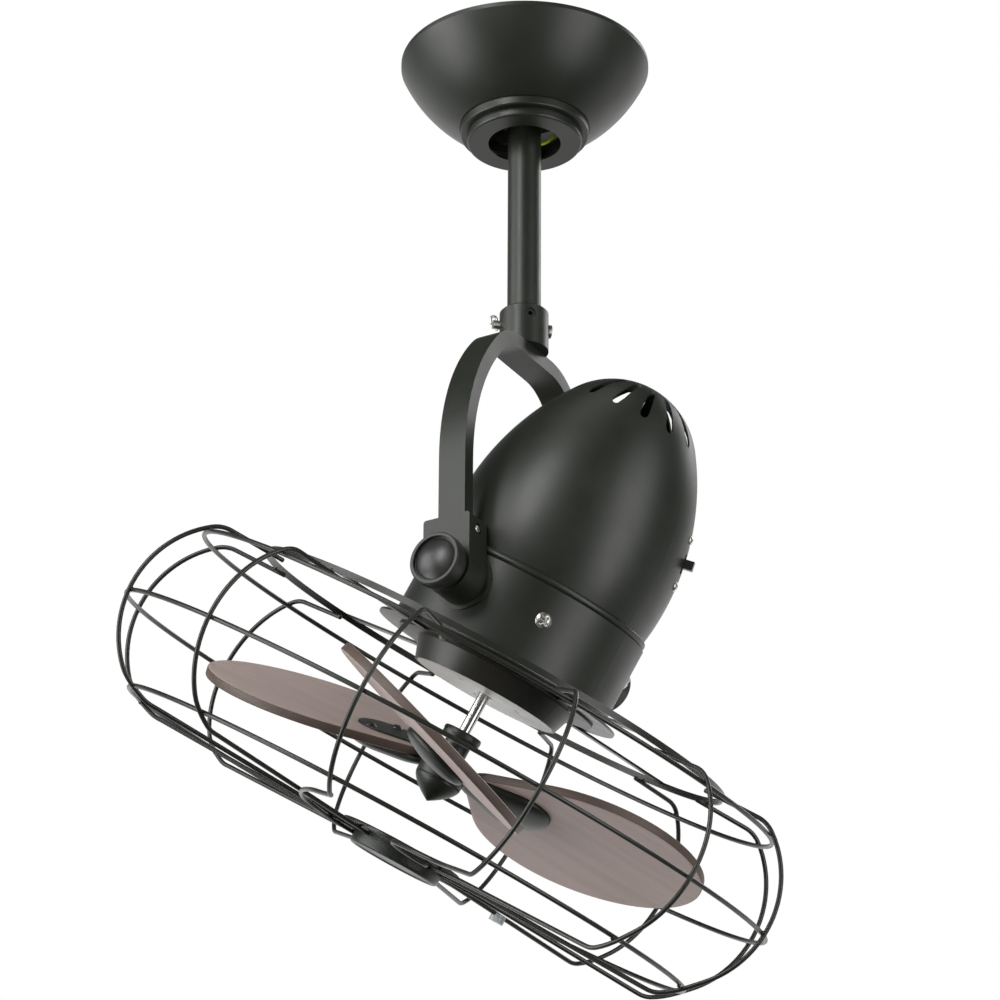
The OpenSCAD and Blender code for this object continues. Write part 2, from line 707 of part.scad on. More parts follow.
module lower_housing() color("#383838") in_head() difference() {
    union() {
        lathe() difference() {
            edge_r = 3;
            union() {
                box2([0, -housing_drop + edge_r], [housing_r, seam_z]);
                box2([0, -housing_drop], [housing_r - edge_r, 0]);
                translate([housing_r - edge_r, -housing_drop + edge_r]) circle(r = edge_r);
            }
            box2([-1, -housing_drop + housing_floor], [housing_r - housing_t, seam_z + 1]);
            box2([-1, -housing_drop - 1], [housing_hole_r, 0]);
        }
        difference() {
            rotate([90, 0, 0]) translate([0, 0, -housing_r - air_gap])
                cylinder(r = pad_r, h = 2 * (housing_r + air_gap));
            translate([0, 0, -far / 2]) cylinder(r = housing_r - housing_t, h = far);
        }
        for (side = [0, 1]) mirror([0, side, 0]) rotate([90, 0, 0])
            translate([0, 0, stud_head_y + 4]) cylinder(r = boss_r, h = boss_face - stud_head_y - 4);
    }
    rotate([90, 0, 0]) translate([0, 0, -far / 2]) cylinder(r = stud_r + fit, h = far);
    around(4, housing_screw_angle) rotate([0, 90, 0]) cylinder(r = housing_screw_r + fit, h = far);
    around(4, 0) translate([drum_screw_pitch_r, 0, -housing_drop - 1])
        cylinder(r = drum_screw_r + fit, h = housing_floor + 2);
}

module housing_screws() color("silver") in_head() around(4, housing_screw_angle)
    translate([housing_r, 0, 0]) rotate([0, 90, 0]) round_screw(housing_screw_r, 12, housing_screw_head_r, 2.2);

// ---- head: motor ----

module motor_frame() color("silver") in_head() difference() {
    foot = -housing_drop + housing_floor;
    union() {
        lathe() {
            box2([frame_r - frame_t, foot], [frame_r, frame_top]);
            box2([frame_r - frame_t, foot], [frame_flange_r, foot + 2.5]);
            box2([shaft_hole_r, frame_top - frame_t], [frame_r, frame_top]);
            box2([bearing_r + fit, frame_top - frame_t - bearing_h], [bearing_r + bearing_wall, frame_top]);
        }
        lug_end = sqrt(pow(housing_r - housing_t, 2) - pow(lug_w / 2, 2)) - seat_gap;
        around(4, housing_screw_angle) translate([frame_r - 1, -lug_w / 2, -lug_w / 2])
            cube([lug_end - frame_r + 1, lug_w, lug_w]);
    }
    around(4, housing_screw_angle) translate([frame_r + 1, 0, 0]) rotate([0, 90, 0])
        cylinder(r = housing_screw_r + fit, h = far);
    around(4, 0) translate([drum_screw_pitch_r, 0, foot - 1]) cylinder(r = drum_screw_r + fit, h = 5);
}

module stator() color("gray") in_head() translate([0, 0, stator_z - stator_h]) difference() {
    cylinder(r = stator_r, h = stator_h);
    translate([0, 0, -1]) cylinder(r = stator_bore_r, h = stator_h + 2);
    around(12, 0) translate([stator_bore_r + 8, 0, -1]) cylinder(r = 4, h = stator_h + 2);
    around(12, 0) translate([0, -1, -1]) cube([stator_bore_r + 8, 2, stator_h + 2]);
}

module windings() color("#b5651d") in_head() for (z = [stator_z, stator_z - stator_h - coil_h])
    translate([0, 0, z]) lathe() {
        coil_in = stator_bore_r + 4;
        coil_out = stator_r - 4;
        box2([coil_in, 1], [coil_out, coil_h - 1]);
        box2([coil_in + 1, 0], [coil_out - 1, coil_h]);
        for (r = [coil_in + 1, coil_out - 1], h = [1, coil_h - 1]) translate([r, h]) circle(r = 1);
    }

module bearings() color("lightsteelblue") in_head()
    for (z = [frame_top - frame_t - bearing_h, -drum_drop + sheet_t]) translate([0, 0, z]) lathe()
        difference() {
            box2([shaft_r + fit, 0], [bearing_r, bearing_h]);
            for (h = [-1, bearing_h - 0.5]) box2([shaft_r + 2, h], [bearing_r - 2, h + 1.5]);
        }

module pivot_studs() color("silver") in_head() for (side = [0, 1]) mirror([0, side, 0]) rotate([90, 0, 0])
    translate([0, 0, stud_head_y]) {
        cylinder(r = stud_r, h = stud_end - stud_head_y);
        cylinder(r = stud_r + 4, h = 4);
    }

module friction_washers() color("#4a4a40") in_head() for (side = [0, 1]) mirror([0, side, 0]) rotate([90, 0, 0])
    translate([0, 0, boss_face]) difference() {
        cylinder(r = boss_r, h = washer_t);
        translate([0, 0, -1]) cylinder(r = stud_r + fit, h = washer_t + 2);
    }

// ---- head: switch ----

module switch_body() color("#1c1c1c") in_head() difference() {
    body_l = switch_pitch + 8;
    on_switch() translate([-switch_front - switch_back, -switch_w / 2, -body_l / 2])
        cube([switch_back, switch_w, body_l]);
    track_l = slider_l + 4 + 2 * switch_travel + 2 * air_gap;
    on_switch() translate([-switch_front - slider_foot - air_gap, -slider_w / 2 - 1 - air_gap, -track_l / 2])
        cube([far, slider_w + 2 + 2 * air_gap, track_l]);
    at_switch_screws() translate([0, 0, -switch_front - switch_screw_l])
        cylinder(r = switch_screw_r + fit, h = far);
}

module switch_screws() color("silver") in_head() at_switch_screws()
    round_screw(switch_screw_r, switch_screw_l, 2 * switch_screw_r, 1.8);

module switch_slider() color("#161616") in_head() on_switch() {
    foot_in = -switch_front - slider_foot;
    translate([foot_in, -slider_w / 2 - 1, -slider_l / 2 - 2]) cube([slider_foot, slider_w + 2, slider_l + 4]);
    translate([foot_in, -slider_w / 2, -slider_l / 2]) cube([slider_out - foot_in, slider_w, slider_l]);
}

// ---- head: drum and its underside ----

module drum() color("#303132") in_head() difference() {
    lathe() difference() {
        union() {
            box2([0, -drum_top - sheet_t], [drum_flange_r, -drum_top]);
            polygon([[0, -drum_drop], [drum_r2, -drum_drop], [drum_r1, -drum_top - sheet_t], [0, -drum_top]]);
        }
        polygon([
            [-1, -drum_drop - 1], [drum_r2 - sheet_t, -drum_drop - 1], [drum_r2 - sheet_t, -drum_drop + sheet_t],
            [drum_r2 - sheet_t, -drum_drop + sheet_t], [drum_r1 - sheet_t, -drum_top - sheet_t],
            [drum_r1 - sheet_t, -drum_top + 1], [-1, -drum_top + 1]
        ]);
    }
    around(4, 0) translate([drum_screw_pitch_r, 0, -drum_top - 3]) cylinder(r = drum_screw_r + fit, h = 5);
}

module drum_screws() color("silver") in_head() around(4, 0)
    translate([drum_screw_pitch_r, 0, -drum_top - sheet_t]) rotate([180, 0, 0])
        round_screw(drum_screw_r, 2 * sheet_t + housing_floor + 2, 2.8, 1.8);

module underside_plate() color("#c9cbcc") in_head() difference() {
    lathe() {
        box2([shaft_hole_r, -drum_drop], [plate_in_drum_r, -drum_drop + sheet_t]);
        box2([bearing_r + fit, -drum_drop], [bearing_r + bearing_wall, -drum_drop + sheet_t + bearing_h]);
    }
    around(3, 20) translate([24, 0, -drum_drop - 1]) cylinder(r = 2, h = 4);
}

// ---- cage ----

module cage_plate() color("#2e2e2e") in_head() difference() {
    lathe() box2([drum_r1 + 0.5, -drum_top], [plate_r, -housing_drop]);
    around(4, 0) translate([drum_screw_pitch_r, 0, -drum_top - 1]) cylinder(r = drum_screw_r + fit, h = 4);
}

module cage_spokes() color("#2e2e2e") in_head() around(spoke_n, spoke_angle) {
    spoke_in = drum_flange_r + 1;
    spoke_out = band_r - band_t / 2;
    translate([spoke_in, -spoke_w / 2, -drum_top - sheet_t]) cube([spoke_out - spoke_in, spoke_w, sheet_t]);
}

module cage_band() color("#2e2e2e") in_head() lathe() {
    bottom = -rib_top + wire_r - weld;
    box2([band_r - band_t / 2, bottom], [band_r + band_t / 2, bottom + band_h]);
}

// A level ring welded inside the ribs, at a turn of the ribs' bulge
module cage_ring(turn) color("#2e2e2e") in_head() translate([0, 0, -rib_mid + ring_bulge * sin(turn)])
    wire_ring(band_r + ring_bulge * cos(turn), wire_d);

module cage_ring_top() cage_ring(ring_turns[0]);

module cage_ring_middle() cage_ring(ring_turns[1]);

module cage_ring_bottom() cage_ring(ring_turns[2]);

// Upper runs of the ribs: in past the band, out to the shoulder and round its bend
module cage_rib_tops() color("#2e2e2e") in_head() around(rib_n, rib_angle) {
    translate([top_x, 0, -rib_top]) rotate([0, -90, 0]) cylinder(r = wire_r, h = top_x - band_r + rib_tail);
    translate([top_x, 0, -rib_top - rib_bend_r]) mirror([0, 0, 1]) wire_arc(rib_bend_r, -90, -top_turn, wire_d);
}

// The bulge of every rib between its shoulders
module cage_rib_sides() color("#2e2e2e") in_head() around(rib_n, rib_angle)
    translate([band_r, 0, -rib_mid]) wire_arc(rib_bulge, bottom_turn, top_turn, wire_d);

// Lower runs of the ribs: round the lower shoulder and in to the disc
module cage_rib_bottoms() color("#2e2e2e") in_head() around(rib_n, rib_angle) {
    translate([bottom_x, 0, -rib_bottom]) rotate([0, -90, 0]) cylinder(r = wire_r, h = bottom_x - disc_r + weld);
    translate([bottom_x, 0, -rib_bottom + rib_bend_r]) wire_arc(rib_bend_r, -90, bottom_turn, wire_d);
}

module cage_disc() color("#262626") in_head() translate([0, 0, -rib_bottom - disc_t + 3.5]) lathe() polygon([
    [0, 0], [disc_r - 2, 0], [disc_r, 2], [disc_r, disc_t - 1], [disc_r - 1, disc_t], [0, disc_t]
]);

module cage_collar_ring() color("#2e2e2e") in_head() translate([0, 0, -rib_bottom + ring_inset])
    wire_ring(collar_ring_r, wire_d);

module wire_clip() color("lightgray", 0.7) in_head() rotate([0, 0, rib_angle + 60])
    translate([105, 0, -rib_bottom - wire_r - 4]) difference() {
        cylinder(r = 5, h = 5.5);
        translate([-far / 2, 0, 4 + wire_r]) rotate([0, 90, 0]) cylinder(r = wire_r + fit, h = far);
    }

// ---- rotor ----

module shaft() color("silver") in_head() translate([0, 0, -shaft_end]) cylinder(r = shaft_r, h = shaft_end + shaft_top);

module rotor_core() color("#6d6f73") in_head() difference() {
    translate([0, 0, stator_z - stator_h + 2]) cylinder(r = stator_bore_r - rotor_gap, h = stator_h - 4);
    translate([0, 0, -far / 2]) cylinder(r = shaft_r, h = far);
}

module hub() color("#262626") in_head() difference() {
    lathe() polygon([
        [shaft_r, -hub_top], [hub_r - 1, -hub_top], [hub_r, -hub_top - 1], [hub_r, -hub_top - 6],
        [hub_waist_r, -hub_top - 8], [hub_waist_r, -hub_top - 15], [hub_r, -hub_disc_top + 2],
        [hub_disc_r, -hub_disc_top], [hub_disc_r, -hub_bottom + 1], [hub_disc_r - 1, -hub_bottom],
        [0, -hub_bottom], [0, -shaft_end], [shaft_r, -shaft_end]
    ]);
    around(blade_n, blade_angle) on_pitch() iron_solid();
    around(2, hub_screw_angle) translate([0, 0, -hub_top - hub_screw_drop]) rotate([0, 90, 0])
        cylinder(r = hub_screw_r + fit, h = far);
}

module hub_screws() color("#1a1a1a") in_head() around(2, hub_screw_angle)
    translate([0, 0, -hub_top - hub_screw_drop]) rotate([0, 90, 0])
        translate([0, 0, shaft_r]) cylinder(r = hub_screw_r, h = hub_r - shaft_r + 1);

// Turns children to the blades' pitch, with the middle plane at the origin
module on_pitch() translate([0, 0, -blade_drop]) rotate([-blade_pitch, 0, 0]) children();

// The plan of two circles on the X axis, joined by their common tangents
module teardrop(x1, r1, x2, r2) {
    lean = asin((r2 - r1) / (x2 - x1));
    edge = [-sin(lean), cos(lean)];
    low = [edge.x, -edge.y];
    translate([x1, 0]) circle(r = r1);
    translate([x2, 0]) circle(r = r2);
    polygon([[x1, 0] + r1 * edge, [x1, 0] + r1 * low, [x2, 0] + r2 * low, [x2, 0] + r2 * edge]);
}

// One blade iron: a long dome under the blade, drawn in towards the hub
module iron_solid() intersection() {
    round_x = iron_end_r - iron_half_w;
    wide = iron_half_w + 4;
    translate([0, 0, -blade_t / 2 - iron_h - 1]) linear_extrude(iron_h + 1) polygon([
        [0, -iron_root_w], [iron_flare_x, -wide], [iron_end_r + 1, -wide],
        [iron_end_r + 1, wide], [iron_flare_x, wide], [0, iron_root_w]
    ]);
    translate([0, 0, -blade_t / 2 - iron_h + iron_dome_r]) rotate([0, 90, 0]) lathe() {
        box2([0, 0], [iron_dome_r, round_x]);
        intersection() {
            translate([0, round_x]) circle(r = iron_dome_r);
            box2([0, round_x], [iron_dome_r, round_x + iron_dome_r]);
        }
    }
}

module blade_irons() color("#242424") in_head() around(blade_n, blade_angle) on_pitch() difference() {
    iron_solid();
    for (p = blade_screw_at) translate([p.x, p.y, -blade_t / 2 - 4]) cylinder(r = blade_screw_r + fit, h = 5);
    rotate([blade_pitch, 0, 0]) translate([0, 0, -far / 2]) cylinder(r = hub_core_r, h = far);
}

module blade(i) color("#6b5a52") in_head() rotate([0, 0, blade_angle + i * 360 / blade_n]) on_pitch() difference() {
    translate([0, 0, -blade_t / 2]) linear_extrude(blade_t)
        teardrop(blade_root_centre, blade_root_r, blade_tip_centre, blade_w / 2);
    for (p = blade_screw_at) translate([p.x, p.y, -far / 2]) cylinder(r = blade_screw_r + fit, h = far);
}

module blade_1() blade(0);

module blade_2() blade(1);

module blade_3() blade(2);

module blade_screws() color("silver") in_head() around(blade_n, blade_angle) on_pitch()
    for (p = blade_screw_at) translate([p.x, p.y, blade_t / 2])
        round_screw(blade_screw_r, blade_t + 3.5, blade_screw_head_r, 2);

module spinner() color("#1f1f1f") in_head() translate([0, 0, -hub_bottom]) lathe() polygon([
    [0, 0], [spinner_r, 0], [spinner_r, -2], [spinner_r - 1.5, -6], [5, -spinner_h + 3],
    [2.5, -spinner_h + 0.8], [0, -spinner_h]
]);

ceiling_bracket();
terminal_block();
earth_wire();
canopy();
canopy_screws();
canopy_trim_ring();
hanger_ball();
ball_pin();
downrod();
supply_cable();
coupling();
clevis_pin();
r_clip();
set_screw();
yoke();
yoke_wires();
clamp_block_near();
clamp_block_far();
block_screws();
bullet_shell();
lower_housing();
housing_screws();
motor_frame();
stator();
windings();
bearings();
pivot_studs();
friction_washers();
switch_body();
switch_screws();
drum();
drum_screws();
underside_plate();
cage_plate();
cage_spokes();
cage_band();
cage_ring_top();
cage_ring_middle();
cage_ring_bottom();
cage_rib_tops();
cage_rib_sides();
cage_rib_bottoms();
cage_disc();
cage_collar_ring();
wire_clip();
shaft();
rotor_core();
hub();
hub_screws();
blade_irons();
blade_1();
blade_2();
blade_3();
blade_screws();
spinner();
switch_slider();
clamp_knob_near();
clamp_knob_far();
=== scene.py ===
"""Looks of a ceiling fan: a bullet-shaped motor head that tilts in a yoke, with wooden blades in a wire cage."""

import math
import bpy
import numpy as np
from mathutils import Matrix, Vector


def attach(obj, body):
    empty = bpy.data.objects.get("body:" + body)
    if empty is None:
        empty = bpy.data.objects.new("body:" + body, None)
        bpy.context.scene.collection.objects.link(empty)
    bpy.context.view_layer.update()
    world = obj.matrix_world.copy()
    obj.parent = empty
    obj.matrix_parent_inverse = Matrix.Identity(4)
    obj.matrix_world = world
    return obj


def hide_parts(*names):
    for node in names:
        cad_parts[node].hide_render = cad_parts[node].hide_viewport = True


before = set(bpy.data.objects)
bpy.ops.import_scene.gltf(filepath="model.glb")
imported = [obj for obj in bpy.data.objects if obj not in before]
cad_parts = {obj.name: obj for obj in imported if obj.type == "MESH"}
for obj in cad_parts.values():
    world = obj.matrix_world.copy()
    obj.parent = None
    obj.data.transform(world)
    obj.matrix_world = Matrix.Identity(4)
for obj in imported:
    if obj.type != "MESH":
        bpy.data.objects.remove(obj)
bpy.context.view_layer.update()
scene = bpy.context.scene


# ---- Studio ----
# The fan hangs free in a white room, as in a catalogue: a tall softbox on each side, smaller ones up
# on the left and behind on the right, weak ones above and in front, and pale walls behind and below
# that the satin paint picks up along its edges.

def linear(code):
    """Linear colour of an sRGB hex value: c / 12.92 up to 0.04045, above it ((c + 0.055) / 1.055) ^ 2.4."""
    c = np.array([int(code[i : i + 2], 16) for i in (1, 3, 5)]) / 255
    return (*np.where(c <= 0.04045, c / 12.92, ((c + 0.055) / 1.055) ** 2.4).tolist(), 1.0)


def add(tree, kind, inputs, **properties):
    """Adds one node, sets its properties, and sets or links each input by its name or number."""
    node = tree.nodes.new(kind)
    for name, value in properties.items():
        setattr(node, name, value)
    for name, value in inputs.items():
        if isinstance(value, bpy.types.NodeSocket):
            tree.links.new(value, node.inputs[name])
        else:
            node.inputs[name].default_value = value
    return node


world = bpy.data.worlds.new("studio_walls")
scene.world = world
world.use_nodes = True
tree = world.node_tree
tree.nodes.clear()
path = add(tree, "ShaderNodeLightPath", {})
ray = add(tree, "ShaderNodeTexCoord", {})
# How far a direction looks to the room behind the fan: its dot product with the camera's own heading.
# In a mirror the walls are dim in front of the fan and bright behind it.
BACK = (-0.45, 0.78, -0.43)
DIM_WALL, BRIGHT_WALL = 0.06, 1.3
towards = add(tree, "ShaderNodeVectorMath", {0: ray.outputs["Generated"], 1: BACK}, operation="DOT_PRODUCT")
wall = add(tree, "ShaderNodeMapRange", {"Value": towards.outputs["Value"], "From Min": 0.2, "From Max": 0.85,
                                        "To Min": DIM_WALL, "To Max": BRIGHT_WALL}, interpolation_type="SMOOTHSTEP")
mirrored = add(tree, "ShaderNodeMath", {0: path.outputs["Is Glossy Ray"], 1: path.outputs["Is Transmission Ray"]},
               operation="MAXIMUM")
seen = add(tree, "ShaderNodeMix", {0: mirrored.outputs[0], 2: 1.0, 3: wall.outputs["Result"]}, data_type="FLOAT")
strength = add(tree, "ShaderNodeMix", {0: path.outputs["Is Camera Ray"], 2: seen.outputs[0], 3: 1.0},
               data_type="FLOAT")
backdrop = add(tree, "ShaderNodeBackground", {"Color": (1.0, 1.0, 1.0, 1.0), "Strength": strength.outputs[0]})
add(tree, "ShaderNodeOutputWorld", {"Surface": backdrop.outputs[0]})

# The floor lies far below, so that the view from underneath still sees the fan
FLOOR_Z, FLOOR_HALF = -5.6, 30
floor_mesh = bpy.data.meshes.new("floor")
floor_mesh.from_pydata([(x * FLOOR_HALF, y * FLOOR_HALF, FLOOR_Z) for x, y in ((-1, -1), (1, -1), (1, 1), (-1, 1))],
                       [], [(0, 1, 2, 3)])
floor = bpy.data.objects.new("floor", floor_mesh)
scene.collection.objects.link(floor)
floor_paint = bpy.data.materials.new("studio_floor")
floor_paint.use_nodes = True
tree = floor_paint.node_tree
tree.nodes.clear()
path = add(tree, "ShaderNodeLightPath", {})
matt = add(tree, "ShaderNodeBsdfDiffuse", {"Color": (0.55, 0.55, 0.55, 1.0)})
# In a mirror the floor is dim up to 1 m behind the fan and bright from 8 m on, as the walls are
BEHIND, DIM_FLOOR, BRIGHT_FLOOR = (-0.49, 0.87, 0.0), 0.07, 1.0
place = add(tree, "ShaderNodeTexCoord", {})
behind = add(tree, "ShaderNodeVectorMath", {0: place.outputs["Object"], 1: BEHIND}, operation="DOT_PRODUCT")
far = add(tree, "ShaderNodeMapRange", {"Value": behind.outputs["Value"], "From Min": 1.0, "From Max": 8.0,
                                       "To Min": DIM_FLOOR, "To Max": BRIGHT_FLOOR}, interpolation_type="SMOOTHSTEP")
level = add(tree, "ShaderNodeMix", {0: path.outputs["Is Camera Ray"], 2: far.outputs["Result"], 3: 1.0},
            data_type="FLOAT")
glow = add(tree, "ShaderNodeEmission", {"Color": (1.0, 1.0, 1.0, 1.0), "Strength": level.outputs[0]})
mirrored = add(tree, "ShaderNodeMath", {0: path.outputs["Is Glossy Ray"], 1: path.outputs["Is Transmission Ray"]},
               operation="MAXIMUM")
bare = add(tree, "ShaderNodeMath", {0: path.outputs["Is Camera Ray"], 1: mirrored.outputs[0]}, operation="MAXIMUM")
mixed = add(tree, "ShaderNodeMixShader", {0: bare.outputs[0], 1: matt.outputs[0], 2: glow.outputs[0]})
add(tree, "ShaderNodeOutputMaterial", {"Surface": mixed.outputs[0]})
floor_mesh.materials.append(floor_paint)

# Softboxes: azimuth and elevation in degrees, distance and size in metres, power in watts
AIM = Vector((0.0, 0.0, -0.36))
VIEW_TURN = math.radians(29.43)


def softbox(name, side, height, distance, size, power):
    """A rectangular lamp at an azimuth (left is negative) and elevation seen from the camera's side of the fan."""
    a = VIEW_TURN + math.radians(side)
    e = math.radians(height)
    lamp = bpy.data.lights.new(name, "AREA")
    lamp.shape = "RECTANGLE"
    lamp.size, lamp.size_y = size
    lamp.energy = power
    box = bpy.data.objects.new(name, lamp)
    scene.collection.objects.link(box)
    out = Vector((math.sin(a) * math.cos(e), -math.cos(a) * math.cos(e), math.sin(e)))
    box.location = AIM + out * distance
    box.rotation_mode = "QUATERNION"
    box.rotation_quaternion = out.to_track_quat("Z", "Y")
    box.visible_camera = False


softbox("softbox_left", -76, 0, 2.1, (1.4, 2.8), 60)
softbox("softbox_upper_left", -34, 24, 2.6, (0.8, 1.4), 38)
softbox("softbox_right", 52, -8, 2.4, (1.3, 3.0), 46)
softbox("softbox_back_right", 132, 36, 2.6, (1.2, 1.0), 13)
softbox("softbox_top", -10, 74, 2.4, (1.5, 1.5), 6)
softbox("softbox_front", -20, -14, 3.4, (1.4, 1.4), 2)

# The camera stands below the fan and looks up at it through a long lens
camera_data = bpy.data.cameras.new("camera")
camera_data.lens = 180
camera_data.sensor_width = 36
camera_data.clip_end = 60
camera = bpy.data.objects.new("camera", camera_data)
scene.collection.objects.link(camera)
scene.camera = camera
CAMERA_DISTANCE, CAMERA_Z = 2.86675, -1.74085
PITCH, YAW, ROLL = math.radians(26.31), math.radians(-0.30), math.radians(0.31)
turn = Matrix.Rotation(VIEW_TURN, 3, "Z")
ahead = turn @ Vector((math.sin(YAW) * math.cos(PITCH), math.cos(YAW) * math.cos(PITCH), math.sin(PITCH)))
right = turn @ Vector((math.cos(YAW), -math.sin(YAW), 0))
up = right.cross(ahead)
right, up = (math.cos(ROLL) * right + math.sin(ROLL) * up, -math.sin(ROLL) * right + math.cos(ROLL) * up)
pose = Matrix((right, up, -ahead)).transposed().to_4x4()
pose.translation = turn @ Vector((0, -CAMERA_DISTANCE, CAMERA_Z))
camera.matrix_world = pose

scene.view_settings.view_transform = "Standard"


# ---- Canopy and its trim ring ----
# Spun steel sheet with a satin black powder coat. The coat levels out smooth, with a faint
# orange-peel, so lamps show in it as broad soft bands and its edges go pale at a glancing angle.

MM = 0.001
# Clouds of tone about 26 mm across, in which the roughness wanders by 0.03, under a skin rippled by up to 0.2 mm
CLOUDS, WANDER, PEEL = 38.0, 0.03, 0.2 * MM


def coated(name, deep, pale, rough, peel_mm, peel_depth):
    """A coat or moulding: colour wanders between two tones, roughness round a value, with a fine rippled skin."""
    material = bpy.data.materials.new(name)
    material.use_nodes = True
    tree = material.node_tree
    tree.nodes.clear()
    place = add(tree, "ShaderNodeTexCoord", {})
    cloud = add(tree, "ShaderNodeTexNoise", {"Vector": place.outputs["Object"], "Scale": CLOUDS, "Detail": 3.0})
    peel = add(tree, "ShaderNodeTexNoise", {"Vector": place.outputs["Object"], "Scale": 1000 / peel_mm, "Detail": 2.0})
    tone = add(tree, "ShaderNodeMix", {0: cloud.outputs[0], 6: linear(deep), 7: linear(pale)}, data_type="RGBA")
    dull = add(tree, "ShaderNodeMapRange", {"Value": cloud.outputs[0], "From Min": 0.3, "From Max": 0.7,
                                            "To Min": rough - WANDER, "To Max": rough + WANDER})
    ripple = add(tree, "ShaderNodeBump", {"Height": peel.outputs[0], "Strength": peel_depth, "Distance": PEEL})
    shader = add(tree, "ShaderNodeBsdfPrincipled", {"Base Color": tone.outputs[2], "Roughness": dull.outputs[0],
                                                    "Normal": ripple.outputs[0]})
    add(tree, "ShaderNodeOutputMaterial", {"Surface": shader.outputs[0]})
    return material


def wear(material, *nodes):
    """Gives a finish to carried-over solids."""
    for name in nodes:
        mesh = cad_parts[name].data
        mesh.materials.clear()
        mesh.materials.append(material)


powder_coat = coated("satin_black_powder_coat", "#0e130b", "#151a10", 0.42, 1.6, 0.12)
wear(powder_coat, "canopy", "canopy_trim_ring")


# ---- Bracket, terminals and wires in the canopy ----
# A zinc-plated steel stirrup, screwed to the ceiling, carries the ball. Beside it sit a nylon
# terminal block and the yellow-green earth wire, which shows through the trim ring's hole.

# How far the roughness wanders, how deep the grain is, and how much of that depth shows
GRAIN_WANDER, GRAIN_DEPTH, GRAIN_BUMP = 0.05, 0.1 * MM, 0.1


def plated(name, deep, pale, rough, grain_mm):
    """A metal: tone and roughness wander with a grain of the given size, which also ripples the skin a little."""
    material = bpy.data.materials.new(name)
    material.use_nodes = True
    tree = material.node_tree
    tree.nodes.clear()
    place = add(tree, "ShaderNodeTexCoord", {})
    grain = add(tree, "ShaderNodeTexNoise", {"Vector": place.outputs["Object"], "Scale": 1000 / grain_mm,
                                             "Detail": 3.0})
    tone = add(tree, "ShaderNodeMix", {0: grain.outputs[0], 6: linear(deep), 7: linear(pale)}, data_type="RGBA")
    dull = add(tree, "ShaderNodeMapRange", {"Value": grain.outputs[0], "To Min": rough - GRAIN_WANDER,
                                            "To Max": rough + GRAIN_WANDER})
    ripple = add(tree, "ShaderNodeBump", {"Height": grain.outputs[0], "Strength": GRAIN_BUMP, "Distance": GRAIN_DEPTH})
    shader = add(tree, "ShaderNodeBsdfPrincipled", {"Base Color": tone.outputs[2], "Roughness": dull.outputs[0],
                                                    "Normal": ripple.outputs[0], "Metallic": 1.0})
    add(tree, "ShaderNodeOutputMaterial", {"Surface": shader.outputs[0]})
    return material


# Electroplated zinc: a soft silvery shine with small cloudy crystals
zinc = plated("bright_zinc_plate", "#8f8f8a", "#c9c8c2", 0.32, 3.0)
wear(zinc, "ceiling_bracket", "ball_pin", "canopy_screws", "pivot_studs")
# Moulded nylon and extruded soft vinyl: smooth, half matt, and the wire's green and yellow run into one another
wear(coated("ivory_nylon", "#cdc6ad", "#d8d2bc", 0.45, 2.0, 0.1), "terminal_block")
wear(coated("yellow_green_insulation", "#7fae1c", "#c9cf1e", 0.4, 3.0, 0.05), "earth_wire")


# ---- Hanger ball, downrod and coupling ----
# The rod stands in a moulded nylon ball and ends in a turned steel coupling, held by a clevis pin
# with a hairpin clip and by a hexagon-socket set screw.

# Nylon from a polished mould: black, with a clearer shine than the coat; the rubbery sheath is duller
moulded = coated("black_moulded_nylon", "#171816", "#1c1d1b", 0.36, 1.2, 0.1)
wear(moulded, "hanger_ball")
wear(powder_coat, "downrod", "coupling")
wear(coated("black_cable_sheath", "#161616", "#1c1c1c", 0.55, 1.5, 0.1), "supply_cable", "yoke_wires")
wear(zinc, "clevis_pin", "r_clip")
# Oil-blackened steel: near black, with hardly any metallic shine left
wear(coated("blackened_steel", "#121212", "#1a1a1a", 0.4, 1.0, 0.1), "set_screw", "hub_screws")


# ---- Yoke and tilt clamps ----
# A rectangular steel tube bent to a fork, in the same coat. A cast block is clamped over each foot
# and holds the head's tilt stud.

wear(powder_coat, "yoke", "clamp_block_near", "clamp_block_far")


# ---- Bullet shell and lower housing ----
# Deep-drawn steel, slotted at the nose for cooling air, over a turned lower housing. Four
# round-headed cross screws clamp the housing to the motor frame.

wear(powder_coat, "bullet_shell", "lower_housing")

# The head's own frame: its middle on the tilt axis, leaning by the tilt
PIVOT_Z = -411.2
TILT = math.radians(33)
HEAD_TURN = np.array([[math.cos(TILT), 0, math.sin(TILT)], [0, 1, 0], [-math.sin(TILT), 0, math.cos(TILT)]])


def in_head(points):
    """Head coordinates in mm to the part's frame in metres: turned by the tilt about Y, then moved to the pivot."""
    return (points @ HEAD_TURN.T + (0, 0, PIVOT_Z)) * MM


# Points closer together than this, in metres, are one
ONE_POINT = 1e-7


